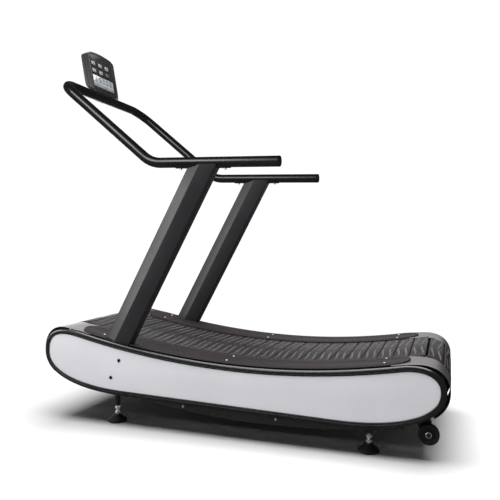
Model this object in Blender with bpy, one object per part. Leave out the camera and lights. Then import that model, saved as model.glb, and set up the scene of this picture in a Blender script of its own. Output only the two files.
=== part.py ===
"""Curved manual treadmill with slanted uprights, a bent tube handlebar and a console.

Metres, +Z up.  The runner faces -X, so the front end is at -X and the runner's left is at -Y.
The chassis is designed in its own level frame: x along the machine from its mid-length, z from
the lower edge of the side panels.  The chassis frame is then pitched nose-up and lifted, so that
the levelling pads stand flat on the floor at z = 0.
"""

import math

import bmesh
import bpy
from mathutils import Matrix, Vector

# ---- stance -----------------------------------------------------------------------------------
NOSE_UP = math.radians(1.7)
CHASSIS_X = -0.0044
CHASSIS_Z = 0.1466
GAP = 0.0003

# ---- side profile, measured in the chassis frame ------------------------------------------------
LOWEST_X, LOWEST_Z = 0.06, 0.1401
FRONT_RADIUS, REAR_RADIUS = 3.72, 3.05
FRONT_ARC_END, REAR_ARC_END = -0.68, 0.70
TIP_X, TIP_Z = 0.843, 0.1445
FRONT_CREST_REACH, FRONT_CREST_DROP = 0.12, 0.074
REAR_CREST_REACH, REAR_CREST_DROP = 0.085, 0.055
FLAT_BOTTOM_X = 0.45
END_POWER = 2.25
ARC_STEPS, END_STEPS = 7, 10

# ---- side layers, as distances from the middle plane ---------------------------------------------
TRIM_OUT, TRIM_IN, TRIM_WIDTH = 0.395, 0.3795, 0.022
PANEL_OUT, PANEL_IN = 0.3915, 0.3795
OUTER_PLATE_OUT, OUTER_PLATE_IN = 0.379, 0.3755
INNER_PLATE_OUT, INNER_PLATE_IN = 0.242, 0.236
BULGE_LOW_X, BULGE_LOW_Z, BULGE_RADIUS = 0.10, -0.060, 3.4
BULGE_FRONT_X, BULGE_REAR_X = -0.42, 0.66

# ---- foot rails and end strips ------------------------------------------------------------------
COVER_OUT, COVER_IN, COVER_GROW, COVER_THICK = 0.376, 0.213, 0.028, 0.003
COVER_FRONT_X, COVER_REAR_X = -0.715, 0.735
STRIP_OUT, STRIP_IN, STRIP_THICK = 0.3755, 0.226, 0.0022
STRIP_TOP_GROW, STRIP_TIP_GROW, STRIP_START_X, STRIP_END_Z = 0.0245, 0.034, 0.62, 0.07

# ---- belt and drums ------------------------------------------------------------------------------
SLATS = 57
SLAT_HALF_WIDTH, SLAT_RISE, WEB_THICK, SLAT_GAP = 0.222, 0.016, 0.004, 0.0024
BELT_GROW, BELT_LOW_X, BELT_LOW_Z = 0.0245, 0.06, -0.068
END_RADIUS = 0.100
FRONT_DRUM, REAR_DRUM = (-0.781, 0.1574), (0.781, 0.1471)
SHAFT_R, SHAFT_HALF, DRUM_HALF = 0.0120, 0.262, 0.205
PULLEY_WIDTH, DRUM_CORE_R, DRUM_SIDES, CHORD_DIP = 0.030, 0.020, 28, 0.0075
BEARING_R, BEARING_BORE_R, BEARING_Y = 0.026, 0.0124, (0.230, 0.249)
RAIL_Y, RAIL_X, RAIL_GROWS = (0.196, 0.202), (-0.66, 0.66), (-0.040, -0.006)
ROLLER_R, ROLLER_Y, ROLLERS = 0.0135, (0.200, 0.218), 11

# ---- uprights and handlebar ------------------------------------------------------------------------
UPRIGHT_Y, UPRIGHT_HALF, NOSE_HALF = 0.350, 0.025, 0.009
UPRIGHT_SLOPE = math.radians(63.4)
CREASE_X, CREASE_Z = -0.3204, 0.5975
UPRIGHT_REAR, UPRIGHT_NOSE = 0.0698, -0.0497
UPRIGHT_FOOT_Z, UPRIGHT_WALL = 0.030, 0.004
TUBE_R, TUBE_WALL, HANDLE_Z = 0.022, 0.0025, 0.9870
GRIP_END_X, BEND_X, BEND_RADIUS = 0.2010, -0.366, 0.13
CROSSBAR_X, CROSSBAR_Z, CORNER_RADIUS = -0.8405, 1.3600, 0.095
SADDLE_X, SADDLE_LENGTH, SADDLE_THICK, SADDLE_SPREAD = -0.125, 0.245, 0.003, math.radians(62)

# ---- console, in its own frame: x out towards the runner, y across, z up the face ------------------
CONSOLE_LEAN = math.radians(-11.75)
CONSOLE_X, CONSOLE_Z = -0.8229, 1.3705
CONSOLE_HALF, CONSOLE_HIGH, CONSOLE_ARCH = 0.113, 0.208, 0.012
CONSOLE_DEPTH, SHELL_SPLIT, UNDERSIDE_RISE = 0.047, 0.024, 0.80
DISPLAY_SIZE, DISPLAY_Y, DISPLAY_Z = (0.178, 0.056), -0.009, 0.068
BUTTON_SIZE, BUTTON_COLUMNS, BUTTON_ROWS = (0.030, 0.018), (-0.083, -0.025, 0.033), (0.154, 0.117)
BUTTON_PROUD, BUTTON_ROOT, BUTTON_POCKET = 0.002, 0.0035, 0.006

# ---- feet and transport wheels -----------------------------------------------------------------------
FOOT_Y, FOOT_XS = 0.312, {"front": -0.530, "rear": 0.586}
PAD_R, PAD_HIGH, BOSS_FLOOR, STUD_R = 0.042, 0.033, 0.072, 0.006
WHEEL_X, WHEEL_Z, WHEEL_R, WHEEL_Y = 0.8056, -0.019, 0.039, (0.3395, 0.3625)
AXLE_R = 0.005
PANEL_SIDES = {"left": -1, "right": 1}


# ---- small helpers -------------------------------------------------------------------------------------
def clear_scene():
    for obj in list(bpy.data.objects):
        bpy.data.objects.remove(obj)


def paint(name, colour, roughness, metallic=0.0):
    material = bpy.data.materials.new(name)
    material.use_nodes = True
    shader = material.node_tree.nodes["Principled BSDF"]
    shader.inputs["Base Color"].default_value = (*colour, 1.0)
    shader.inputs["Roughness"].default_value = roughness
    shader.inputs["Metallic"].default_value = metallic
    return material


def empty(name, parent=None, location=(0, 0, 0), rotation=(0, 0, 0)):
    frame = bpy.data.objects.new(name, None)
    bpy.context.scene.collection.objects.link(frame)
    frame.parent = parent
    frame.location = location
    frame.rotation_euler = rotation
    return frame


def solid(name, bm, material, parent=None, location=(0, 0, 0), smooth=False):
    """Makes one named object from a closed bmesh, with its faces turned out."""
    bmesh.ops.recalc_face_normals(bm, faces=bm.faces)
    mesh = bpy.data.meshes.new(name)
    bm.to_mesh(mesh)
    bm.free()
    if smooth:
        mesh.shade_smooth()
        mesh.set_sharp_from_angle(angle=math.radians(35))
    obj = bpy.data.objects.new(name, mesh)
    obj.data.materials.append(material)
    bpy.context.scene.collection.objects.link(obj)
    obj.parent = parent
    obj.location = location
    return obj


def cutter(name, bm, parent=None, location=(0, 0, 0)):
    """A guide solid for a Boolean, left out of the model."""
    obj = solid(name, bm, MATERIALS["steel"], parent, location)
    obj.hide_render = True
    obj.display_type = "WIRE"
    return obj


def combine(obj, other, operation="DIFFERENCE"):
    boolean = obj.modifiers.new(other.name, "BOOLEAN")
    boolean.operation = operation
    boolean.object = other


def bridge(bm, rings, closed):
    """Joins rings of equally many vertices by quads; closed also joins the last ring to the first."""
    pairs = list(zip(rings, rings[1:]))
    if closed:
        pairs.append((rings[-1], rings[0]))
    for one, two in pairs:
        for i in range(len(one)):
            j = (i + 1) % len(one)
            bm.faces.new((one[i], one[j], two[j], two[i]))


def loft(rings, closed=False):
    """A solid through rings of points.  Open lofts get an end face; closed ones form a ring."""
    bm = bmesh.new()
    rows = [[bm.verts.new(point) for point in ring] for ring in rings]
    bridge(bm, rows, closed)
    if not closed:
        bm.faces.new(rows[0])
        bm.faces.new(rows[-1])
    return bm


def prism(outline, y_start, y_end):
    """Extrudes an (x, z) outline along Y."""
    return loft([[(x, y, z) for x, z in outline] for y in (y_start, y_end)])


def box(low, high):
    (x0, y0, z0), (x1, y1, z1) = low, high
    return prism([(x0, z0), (x1, z0), (x1, z1), (x0, z1)], y0, y1)


def lathe(profile, sides, axis="Z"):
    """Turns a profile of (distance along the axis, radius) pairs, ends on the axis or open faces."""
    rings = []
    for along, radius in profile:
        ring = []
        for i in range(sides):
            turn = 2 * math.pi * i / sides
            across, up = radius * math.cos(turn), radius * math.sin(turn)
            ring.append((across, along, up) if axis == "Y" else (across, up, along))
        rings.append(ring)
    return loft(rings)


def tube_ring(profile, sides, axis="Y"):
    """Turns a closed profile of (along, radius) pairs into a ring with a hole through it."""
    rings = []
    for i in range(sides):
        turn = 2 * math.pi * i / sides
        ring = []
        for along, radius in profile:
            across, up = radius * math.cos(turn), radius * math.sin(turn)
            ring.append((across, along, up) if axis == "Y" else (across, up, along))
        rings.append(ring)
    return loft(rings, closed=True)


def arc_points(centre, radius, start, end, steps):
    """Points of a circle in the (x, z) plane, angles in radians from +x towards +z."""
    turns = [start + (end - start) * i / steps for i in range(steps + 1)]
    return [(centre[0] + radius * math.cos(t), centre[1] + radius * math.sin(t)) for t in turns]


def bezier(p0, p1, p2, p3, steps):
    points = []
    for i in range(steps + 1):
        t = i / steps
        weights = ((1 - t) ** 3, 3 * t * (1 - t) ** 2, 3 * t * t * (1 - t), t**3)
        points.append(tuple(sum(w * p[k] for w, p in zip(weights, (p0, p1, p2, p3))) for k in (0, 1)))
    return points


def smoothstep(value):
    value = min(max(value, 0.0), 1.0)
    return value * value * (3 - 2 * value)


def to_world_z(x, z):
    """Height above the floor of a chassis point."""
    return CHASSIS_Z - x * math.sin(NOSE_UP) + z * math.cos(NOSE_UP)


def to_world_x(x, z):
    return CHASSIS_X + x * math.cos(NOSE_UP) + z * math.sin(NOSE_UP)


# ---- the side profile --------------------------------------------------------------------------------
def deck_height(x):
    """Top edge of the side panel along the running curve."""
    radius = FRONT_RADIUS if x < LOWEST_X else REAR_RADIUS
    return LOWEST_Z + (x - LOWEST_X) ** 2 / (2 * radius)


def crest(arc_end, radius, reach, drop):
    """Curve from the end of the running arc over the crest to the tip."""
    way = math.copysign(1, arc_end)
    slope = abs(arc_end - LOWEST_X) / radius
    start = (arc_end, deck_height(arc_end))
    lead = (arc_end + way * reach, start[1] + reach * slope)
    fall = (way * TIP_X, TIP_Z + drop)
    return bezier(start, lead, fall, (way * TIP_X, TIP_Z), END_STEPS)


def lower_end(way):
    """Superellipse quarter from the tip down to the flat bottom."""
    points = []
    for i in range(END_STEPS + 1):
        turn = 0.5 * math.pi * i / END_STEPS
        across = math.cos(turn) ** (2 / END_POWER)
        down = math.sin(turn) ** (2 / END_POWER)
        points.append((way * (FLAT_BOTTOM_X + (TIP_X - FLAT_BOTTOM_X) * across), TIP_Z * (1 - down)))
    return points


def profile_parts():
    """The closed side profile as named stretches, running rearwards over the top."""
    half = ARC_STEPS
    front = [FRONT_ARC_END + (LOWEST_X - FRONT_ARC_END) * i / half for i in range(half)]
    rear = [LOWEST_X + (REAR_ARC_END - LOWEST_X) * i / half for i in range(half)]
    top = [(x, deck_height(x)) for x in front + rear]
    rear_crest = crest(REAR_ARC_END, REAR_RADIUS, REAR_CREST_REACH, REAR_CREST_DROP)
    front_crest = crest(FRONT_ARC_END, FRONT_RADIUS, FRONT_CREST_REACH, FRONT_CREST_DROP)
    return {
        "top": top,
        "rear_crest": rear_crest[:-1],
        "rear_lower": lower_end(1),
        "front_lower": lower_end(-1)[::-1],
        "front_crest": front_crest[::-1][1:-1],
    }


def grown(points, grow):
    """Moves each point of a closed outline outwards by grow(x, z) or by a plain distance."""
    count = len(points)
    result = []
    for i, (x, z) in enumerate(points):
        before, after = points[i - 1], points[(i + 1) % count]
        along = Vector((after[0] - before[0], after[1] - before[1])).normalized()
        by = grow(x, z) if callable(grow) else grow
        result.append((x - along.y * by, z + along.x * by))
    return result


def side_outline(grow=0.0):
    outline = [point for part in profile_parts().values() for point in part]
    return grown(outline, grow)


def plate_outline(grow):
    """The side profile with the shallow bulge that hangs below the panel."""
    parts = profile_parts()
    steps = 12
    bulge = []
    for i in range(steps + 1):
        x = BULGE_REAR_X + (BULGE_FRONT_X - BULGE_REAR_X) * i / steps
        bulge.append((x, BULGE_LOW_Z + (x - BULGE_LOW_X) ** 2 / (2 * BULGE_RADIUS)))
    outline = side_outline(grow)
    kept_top = len(parts["top"]) + len(parts["rear_crest"])
    lower_rear = outline[kept_top : kept_top + END_STEPS + 1]
    lower_front = outline[kept_top + END_STEPS + 1 : kept_top + 2 * END_STEPS + 2]
    rear = [point for point in lower_rear if point[0] > BULGE_REAR_X + 0.004]
    front = [point for point in lower_front if point[0] < BULGE_FRONT_X - 0.004]
    return outline[:kept_top] + rear + bulge + front + outline[kept_top + 2 * END_STEPS + 2 :]


def deck_strip(x_start, x_end, steps, grow):
    """Points along the running arc, pushed outwards by grow."""
    points = []
    for i in range(steps + 1):
        x = x_start + (x_end - x_start) * i / steps
        slope = (x - LOWEST_X) / (FRONT_RADIUS if x < LOWEST_X else REAR_RADIUS)
        tilt = math.atan(slope)
        points.append((x - grow * math.sin(tilt), deck_height(x) + grow * math.cos(tilt)))
    return points


# ---- side panels and plates --------------------------------------------------------------------------
def make_side(name, way):
    panel = prism(side_outline(0.0), way * PANEL_IN, way * PANEL_OUT)
    solid(f"side_panel_{name}", panel, MATERIALS["panel_white"], CHASSIS)

    section = [(0.0004, TRIM_IN), (0.0004, 0.3935), (0.003, TRIM_OUT), (0.017, TRIM_OUT)]
    section += [(TRIM_WIDTH, 0.390), (TRIM_WIDTH, TRIM_IN)]
    rings = [[(x, way * y, z) for x, z in side_outline(grow)] for grow, y in section]
    solid(f"panel_trim_{name}", loft(rings, closed=True), MATERIALS["trim_black"], CHASSIS, smooth=True)

    outer = prism(plate_outline(0.010), way * OUTER_PLATE_IN, way * OUTER_PLATE_OUT)
    solid(f"outer_side_plate_{name}", outer, MATERIALS["frame_paint"], CHASSIS)
    inner = prism(plate_outline(-0.012), way * INNER_PLATE_IN, way * INNER_PLATE_OUT)
    plate = solid(f"inner_side_plate_{name}", inner, MATERIALS["frame_paint"], CHASSIS)
    for end, (x, z) in (("front", FRONT_DRUM), ("rear", REAR_DRUM)):
        hole = lathe([(-0.01, BEARING_R + GAP), (0.01, BEARING_R + GAP)], 24, "Y")
        middle = way * (INNER_PLATE_IN + INNER_PLATE_OUT) / 2
        combine(plate, cutter(f"hole_{end}_{name}", hole, CHASSIS, (x, middle, z)))
        low, high = BEARING_Y
        ring = [(low, BEARING_BORE_R), (high, BEARING_BORE_R), (high, BEARING_R), (low, BEARING_R)]
        ring = [(way * along, radius) for along, radius in ring]
        bearing = tube_ring(ring, 24)
        solid(f"shaft_bearing_{end}_{name}", bearing, MATERIALS["steel"], CHASSIS, (x, 0, z), True)


def make_cross_members():
    for name, x, z in (("front", -0.560, 0.092), ("middle", 0.0, 0.040), ("rear", 0.560, 0.092)):
        reach = INNER_PLATE_IN - GAP
        bar = box((x - 0.030, -reach, z - 0.019), (x + 0.030, reach, z + 0.019))
        solid(f"cross_member_{name}", bar, MATERIALS["frame_paint"], CHASSIS)


def make_guide_rail(name, way):
    low, high = (deck_strip(*RAIL_X, 14, grow) for grow in RAIL_GROWS)
    rail = prism(low + high[::-1], way * RAIL_Y[0], way * RAIL_Y[1])
    rail = solid(f"guide_rail_{name}", rail, MATERIALS["steel"], CHASSIS)
    rollers = bmesh.new()
    centres = deck_strip(RAIL_X[0] + 0.03, RAIL_X[1] - 0.03, ROLLERS - 1, BELT_GROW - 0.0215 - ROLLER_R)
    for x, z in centres:
        one = lathe([(way * y, ROLLER_R) for y in ROLLER_Y], 12, "Y")
        bmesh.ops.translate(one, verts=one.verts, vec=(x, 0, z))
        piece = bpy.data.meshes.new("roller")
        bmesh.ops.recalc_face_normals(one, faces=one.faces)
        one.to_mesh(piece)
        one.free()
        rollers.from_mesh(piece)
    combine(rail, cutter(f"rollers_{name}", rollers, CHASSIS), "UNION")


# ---- foot rails ----------------------------------------------------------------------------------------
def make_cover(name, way):
    """A shallow tray with round ends, following the deck, notched round the upright."""
    middle, half = (COVER_OUT + COVER_IN) / 2, (COVER_OUT - COVER_IN) / 2
    length = COVER_REAR_X - COVER_FRONT_X
    # The round ends take the first and last stretch; the middle is even.
    stations = []
    for i in range(7):
        stations.append(half * (1 - math.cos(0.5 * math.pi * i / 6)))
    stations += [half + (length - 2 * half) * i / 12 for i in range(1, 12)]
    stations += [length - s for s in stations[6::-1]]
    top = []
    for s in stations:
        inside = min(s, length - s, half)
        width = max(math.sqrt(max(half * half - (half - inside) ** 2, 0.0)), 0.012)
        top.append((COVER_FRONT_X + s, width))
    rings = []
    for x, width in top:
        tilt = math.atan((x - LOWEST_X) / (FRONT_RADIUS if x < LOWEST_X else REAR_RADIUS))
        up = Vector((-math.sin(tilt), 0, math.cos(tilt)))
        ring = []
        for across, grow in (
            (-width, COVER_GROW - COVER_THICK),
            (-width, COVER_GROW - 0.0012),
            (-width + 0.002, COVER_GROW),
            (width - 0.002, COVER_GROW),
            (width, COVER_GROW - 0.0012),
            (width, COVER_GROW - COVER_THICK),
        ):
            ring.append(Vector((x, way * (middle + across), deck_height(x))) + up * grow)
        rings.append(ring)
    cover = solid(f"foot_rail_cover_{name}", loft(rings), MATERIALS["rail_cover"], CHASSIS)
    notch = upright_solid(way, 0.003, 0.10, 0.30)
    combine(cover, cutter(f"upright_notch_{name}", notch, CHASSIS))


def strip_grow(x, z):
    return STRIP_TOP_GROW + (STRIP_TIP_GROW - STRIP_TOP_GROW) * smoothstep((abs(x) - 0.72) / 0.11)


def make_end_strips(name, way):
    parts = profile_parts()
    outer = grown(side_outline(), strip_grow)
    inner = grown(side_outline(), lambda x, z: strip_grow(x, z) - STRIP_THICK)
    top, crest_points = len(parts["top"]), len(parts["rear_crest"])
    for end in ("front", "rear"):
        # The strip starts under the cover, and ends where the profile has turned under the tip.
        if end == "rear":
            first, last = top - 1, top + crest_points + 3
            chosen = list(range(first, last + 1))
        else:
            count = len(outer)
            first = count - (END_STEPS - 1) - 4
            chosen = [i % count for i in range(first, count + 2)]
        section = [outer[i] for i in chosen] + [inner[i] for i in reversed(chosen)]
        strip = prism(section, way * STRIP_IN, way * STRIP_OUT)
        solid(f"end_strip_{end}_{name}", strip, MATERIALS["end_strip"], CHASSIS)


# ---- belt and drums ------------------------------------------------------------------------------------
def belt_path():
    """Dense closed path of the belt's pitch line, running rearwards on the top."""
    pitch = BELT_GROW - SLAT_RISE
    radius = END_RADIUS - SLAT_RISE
    rear_tilt = math.atan((0.758 - LOWEST_X) / REAR_RADIUS)
    front_tilt = math.atan((0.7575 + LOWEST_X) / FRONT_RADIUS)
    rear_x = REAR_DRUM[0] - END_RADIUS * math.sin(rear_tilt)
    front_x = FRONT_DRUM[0] + END_RADIUS * math.sin(front_tilt)
    top = deck_strip(front_x, rear_x, 120, pitch)
    leave = math.radians(18)
    low = BELT_LOW_Z + SLAT_RISE
    rear_end = arc_points(REAR_DRUM, radius, 0.5 * math.pi + rear_tilt, leave - 0.5 * math.pi, 40)
    front_end = arc_points(FRONT_DRUM, radius, 1.5 * math.pi - leave, 0.5 * math.pi - front_tilt, 40)
    lead = Vector((-math.cos(leave), -math.sin(leave))) * 0.27
    off = Vector(rear_end[-1])
    on = Vector(front_end[0])
    away = Vector((lead.x, -lead.y))
    rear_run = bezier(off, off + lead, (BELT_LOW_X + 0.27, low), (BELT_LOW_X, low), 60)
    front_run = bezier((BELT_LOW_X, low), (BELT_LOW_X - 0.27, low), on - away, on, 60)
    return top[:-1] + rear_end[:-1] + rear_run[:-1] + front_run[:-1] + front_end[:-1]


def even_points(path, count):
    """count points at equal steps along a closed path."""
    lengths = [0.0]
    closed = path + path[:1]
    for one, two in zip(closed, closed[1:]):
        lengths.append(lengths[-1] + math.dist(one, two))
    points, place = [], 0
    for i in range(count):
        target = lengths[-1] * i / count
        while lengths[place + 1] < target:
            place += 1
        part = (target - lengths[place]) / (lengths[place + 1] - lengths[place])
        one, two = closed[place], closed[place + 1]
        points.append((one[0] + (two[0] - one[0]) * part, one[1] + (two[1] - one[1]) * part))
    return points


def make_belt():
    """One loop of stiff slats on a thin web, as a single body."""
    joints = even_points(belt_path(), SLATS)
    bm = bmesh.new()
    sides = []
    for y in (-SLAT_HALF_WIDTH, SLAT_HALF_WIDTH):
        rows = []
        for i, point in enumerate(joints):
            start, end = Vector(point), Vector(joints[(i + 1) % SLATS])
            along = (end - start).normalized()
            out = Vector((-along.y, along.x))
            root, tail = start + along * SLAT_GAP, end - along * SLAT_GAP
            before = (start - Vector(joints[i - 1])).normalized()
            inward = -(out + Vector((-before.y, before.x))).normalized()
            corners = [root, root + out * SLAT_RISE, tail + out * SLAT_RISE, tail]
            corners.append(start + inward * WEB_THICK)
            rows.append([bm.verts.new((c.x, y, c.y)) for c in corners])
        sides.append(rows)
    near, far = sides
    for i in range(SLATS):
        j = (i + 1) % SLATS
        for rows in (near, far):
            root, crown, edge, tail, web = rows[i]
            bm.faces.new((root, crown, edge, tail))
            bm.faces.new((root, tail, rows[j][0], rows[j][4], web))
        loop_near = near[i][:4] + [near[j][0]]
        loop_far = far[i][:4] + [far[j][0]]
        for k in range(4):
            bm.faces.new((loop_near[k], loop_near[k + 1], loop_far[k + 1], loop_far[k]))
        bm.faces.new((near[i][4], near[j][4], far[j][4], far[i][4]))
    solid("slat_belt", bm, MATERIALS["slat_rubber"], CHASSIS)


def make_drum(name, centre):
    # The slats lie across the pulley as chords, so its radius reaches only to their middles.
    pulley = END_RADIUS - SLAT_RISE - WEB_THICK - CHORD_DIP
    half = [(SHAFT_HALF, SHAFT_R), (DRUM_HALF, SHAFT_R), (DRUM_HALF, pulley)]
    half += [(DRUM_HALF - PULLEY_WIDTH, pulley), (DRUM_HALF - PULLEY_WIDTH, DRUM_CORE_R)]
    profile = [(-along, radius) for along, radius in half] + half[::-1]
    drum = lathe(profile, DRUM_SIDES, "Y")
    solid(f"{name}_drum", drum, MATERIALS["steel"], CHASSIS, (centre[0], 0, centre[1]), smooth=True)


# ---- uprights and handlebar -----------------------------------------------------------------------------
def upright_solid(way, spare, z_low, z_high):
    """The upright's bevelled section swept up its slope between two level cuts."""
    climb = Vector((math.cos(UPRIGHT_SLOPE), math.sin(UPRIGHT_SLOPE)))
    rearward = Vector((climb.y, -climb.x))
    half, nose = UPRIGHT_HALF + spare, NOSE_HALF + spare
    rear, front = UPRIGHT_REAR + spare, UPRIGHT_NOSE - spare
    section = [(rear, -half + 0.004), (rear, half - 0.004), (rear - 0.004, half), (0.0, half)]
    section += [(front, nose), (front, -nose), (0.0, -half), (rear - 0.004, -half)]
    rings = []
    for level in (z_low, z_high):
        ring = []
        for offset, across in section:
            foot = Vector((CREASE_X, CREASE_Z)) + rearward * offset
            point = foot + climb * ((level - foot.y) / climb.y)
            ring.append((point.x, way * UPRIGHT_Y + across, point.y))
        rings.append(ring)
    return loft(rings)


def make_upright(name, way):
    """A steel column coped round the saddle that carries the handlebar."""
    column = upright_solid(way, 0.0, UPRIGHT_FOOT_Z, HANDLE_Z - 0.009)
    post = solid(f"upright_{name}", column, MATERIALS["upright_paint"], CHASSIS)
    seat_radius = TUBE_R + SADDLE_THICK + 0.0012
    rings = []
    for x in (SADDLE_X - 0.2, SADDLE_X + 0.2):
        circle = [2 * math.pi * i / 24 for i in range(24)]
        rings.append([(x, seat_radius * math.cos(t), seat_radius * math.sin(t)) for t in circle])
    cope = cutter(f"cope_{name}", loft(rings), CHASSIS, (0, way * UPRIGHT_Y, HANDLE_Z))
    combine(post, cope)
    # The column is a box tube, open at its lower end.
    inside = upright_solid(way, -UPRIGHT_WALL, UPRIGHT_FOOT_Z - 0.01, HANDLE_Z - TUBE_R - 0.014)
    combine(post, cutter(f"inside_{name}", inside, CHASSIS))

    # The saddle is a half-round shell under the tube, with a bolting lug beyond each face.
    shell = []
    for radius, turns in ((TUBE_R + 0.0005, 1), (TUBE_R + 0.0005 + SADDLE_THICK, -1)):
        spread = [-SADDLE_SPREAD + 2 * SADDLE_SPREAD * i / 10 for i in range(11)][::turns]
        shell += [(radius * math.sin(t), -radius * math.cos(t)) for t in spread]
    ends = (SADDLE_X - SADDLE_LENGTH / 2, SADDLE_X + SADDLE_LENGTH / 2)
    cradle = loft([[(x, y, z) for y, z in shell] for x in ends])
    saddle = solid(
        f"saddle_{name}", cradle, MATERIALS["tube_black"], CHASSIS, (0, way * UPRIGHT_Y, HANDLE_Z)
    )
    for end, x in (("front", ends[0] + 0.022), ("rear", ends[1] - 0.022)):
        lug = lathe([(-TUBE_R - 0.010, 0.006), (-TUBE_R - 0.0015, 0.006)], 12)
        place = (x, way * UPRIGHT_Y, HANDLE_Z)
        combine(saddle, cutter(f"saddle_bolt_{end}_{name}", lug, CHASSIS, place), "UNION")


def rounded(points, radii, steps):
    """A polyline through points, with each inner corner turned on its radius."""
    path = [points[0]]
    for before, corner, after, radius in zip(points, points[1:], points[2:], radii):
        one, two = (before - corner).normalized(), (after - corner).normalized()
        half = one.angle(two) / 2
        reach, depth = radius / math.tan(half), radius / math.sin(half)
        centre = corner + (one + two).normalized() * depth
        start, end = corner + one * reach - centre, corner + two * reach - centre
        for i in range(steps + 1):
            path.append(centre + start.normalized().slerp(end.normalized(), i / steps) * radius)
    path.append(points[-1])
    return path


def make_handlebar():
    side = UPRIGHT_Y
    near = [(GRIP_END_X, HANDLE_Z), (BEND_X, HANDLE_Z), (CROSSBAR_X, CROSSBAR_Z)]
    corners = [Vector((x, -side, z)) for x, z in near] + [Vector((x, side, z)) for x, z in near[::-1]]
    path = rounded(corners, (BEND_RADIUS, CORNER_RADIUS, CORNER_RADIUS, BEND_RADIUS), 7)
    curve = bpy.data.curves.new("handlebar", "CURVE")
    curve.dimensions = "3D"
    curve.bevel_depth = TUBE_R
    curve.bevel_resolution = 6
    curve.use_fill_caps = False
    spline = curve.splines.new("POLY")
    spline.points.add(len(path) - 1)
    for point, place in zip(spline.points, path):
        point.co = (*place, 1.0)
    curve.materials.append(MATERIALS["tube_black"])
    bar = bpy.data.objects.new("handlebar", curve)
    bpy.context.scene.collection.objects.link(bar)
    bar.parent = CHASSIS
    wall = bar.modifiers.new("wall", "SOLIDIFY")
    wall.thickness = TUBE_WALL
    wall.offset = -1
    for name, way in PANEL_SIDES.items():
        profile = [(GAP, TUBE_R), (0.005, TUBE_R), (0.0075, TUBE_R - 0.002), (0.0085, TUBE_R - 0.006)]
        rings = []
        for along, radius in profile:
            circle = [2 * math.pi * i / 20 for i in range(20)]
            rings.append([(along, radius * math.cos(t), radius * math.sin(t)) for t in circle])
        cap = loft(rings)
        place = (GRIP_END_X, way * side, HANDLE_Z)
        solid(f"grip_end_cap_{name}", cap, MATERIALS["cap_rubber"], CHASSIS, place, smooth=True)


# ---- console ----------------------------------------------------------------------------------------------
def console_ring(depth, inset):
    """Outline of the console at a depth behind its face, shrunk by inset on all sides."""
    half, corner, chin = CONSOLE_HALF - inset, 0.014, 0.018
    low, high = inset, CONSOLE_HIGH - inset
    points = [(-half + chin, low), (half - chin, low), (half, low + chin * 1.3)]
    shoulder = high - corner
    points.append((half, shoulder))
    points.append((half - 0.3 * corner, high - 0.35 * corner))
    for i in range(9):
        across = (half - corner) * (1 - i / 4)
        arch = CONSOLE_ARCH * (1 - (across / (half - corner)) ** 2)
        points.append((across, high + arch))
    points.append((-half + 0.3 * corner, high - 0.35 * corner))
    points += [(-half, shoulder), (-half, low + chin * 1.3)]
    lift = UNDERSIDE_RISE * depth
    return [(-depth, y, z + lift * (1 - z / CONSOLE_HIGH)) for y, z in points]


def make_console():
    front = loft([console_ring(0.0, 0.004), console_ring(0.003, 0.0), console_ring(SHELL_SPLIT, 0.0)])
    shell = solid("console_front_shell", front, MATERIALS["console_plastic"], CONSOLE)
    hollow = loft([console_ring(0.009, 0.004), console_ring(SHELL_SPLIT + 0.004, 0.004)])
    combine(shell, cutter("front_hollow", hollow, CONSOLE))
    # Both shells are hollowed underneath to sit over the crossbar, wider where the clamp is.
    centre = crossbar_in_console()
    for label, radius, reach in (("tube", TUBE_R + 0.0010, 0.14), ("clamp", TUBE_R + 0.0046, 0.037)):
        groove = lathe([(-reach, radius), (reach, radius)], 32, "Y")
        cutter(f"seat_{label}", groove, CONSOLE, centre)
        combine(shell, bpy.data.objects[f"seat_{label}"])

    back = loft(
        [
            console_ring(SHELL_SPLIT + GAP, 0.0),
            console_ring(CONSOLE_DEPTH - 0.008, 0.001),
            console_ring(CONSOLE_DEPTH, 0.008),
        ]
    )
    back = solid("console_back_shell", back, MATERIALS["console_plastic"], CONSOLE)
    hollow = loft([console_ring(SHELL_SPLIT - 0.004, 0.004), console_ring(CONSOLE_DEPTH - 0.004, 0.011)])
    combine(back, cutter("back_hollow", hollow, CONSOLE))
    for label in ("tube", "clamp"):
        combine(back, bpy.data.objects[f"seat_{label}"])

    wide, high = DISPLAY_SIZE
    low_corner = (-0.0025, DISPLAY_Y - wide / 2, DISPLAY_Z - high / 2)
    high_corner = (0.004, DISPLAY_Y + wide / 2, DISPLAY_Z + high / 2)
    combine(shell, cutter("display_pocket", box(low_corner, high_corner), CONSOLE))
    spare = 0.0005
    low_corner = (-0.0025 + GAP, DISPLAY_Y - wide / 2 + spare, DISPLAY_Z - high / 2 + spare)
    high_corner = (-0.0006, DISPLAY_Y + wide / 2 - spare, DISPLAY_Z + high / 2 - spare)
    solid("console_display", box(low_corner, high_corner), MATERIALS["display"], CONSOLE)

    wide, high = BUTTON_SIZE
    number = 0
    for z in BUTTON_ROWS:
        for y in BUTTON_COLUMNS:
            number += 1
            half_y, half_z = wide / 2 + 0.0008, high / 2 + 0.0008
            pocket = box((-BUTTON_POCKET, -half_y, -half_z), (0.004, half_y, half_z))
            combine(shell, cutter(f"button_pocket_{number}", pocket, CONSOLE, (0, y, z)))
            rings = []
            for out, inset in ((-BUTTON_ROOT, 0), (BUTTON_PROUD - 0.001, 0), (BUTTON_PROUD, 0.001)):
                half_y, half_z = wide / 2 - inset, high / 2 - inset
                signs = ((-1, -1), (1, -1), (1, 1), (-1, 1))
                rings.append([(out, half_y * a, half_z * b) for a, b in signs])
            key = loft(rings)
            solid(f"console_button_{number}", key, MATERIALS["button_grey"], CONSOLE, (0, y, z))


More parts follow.
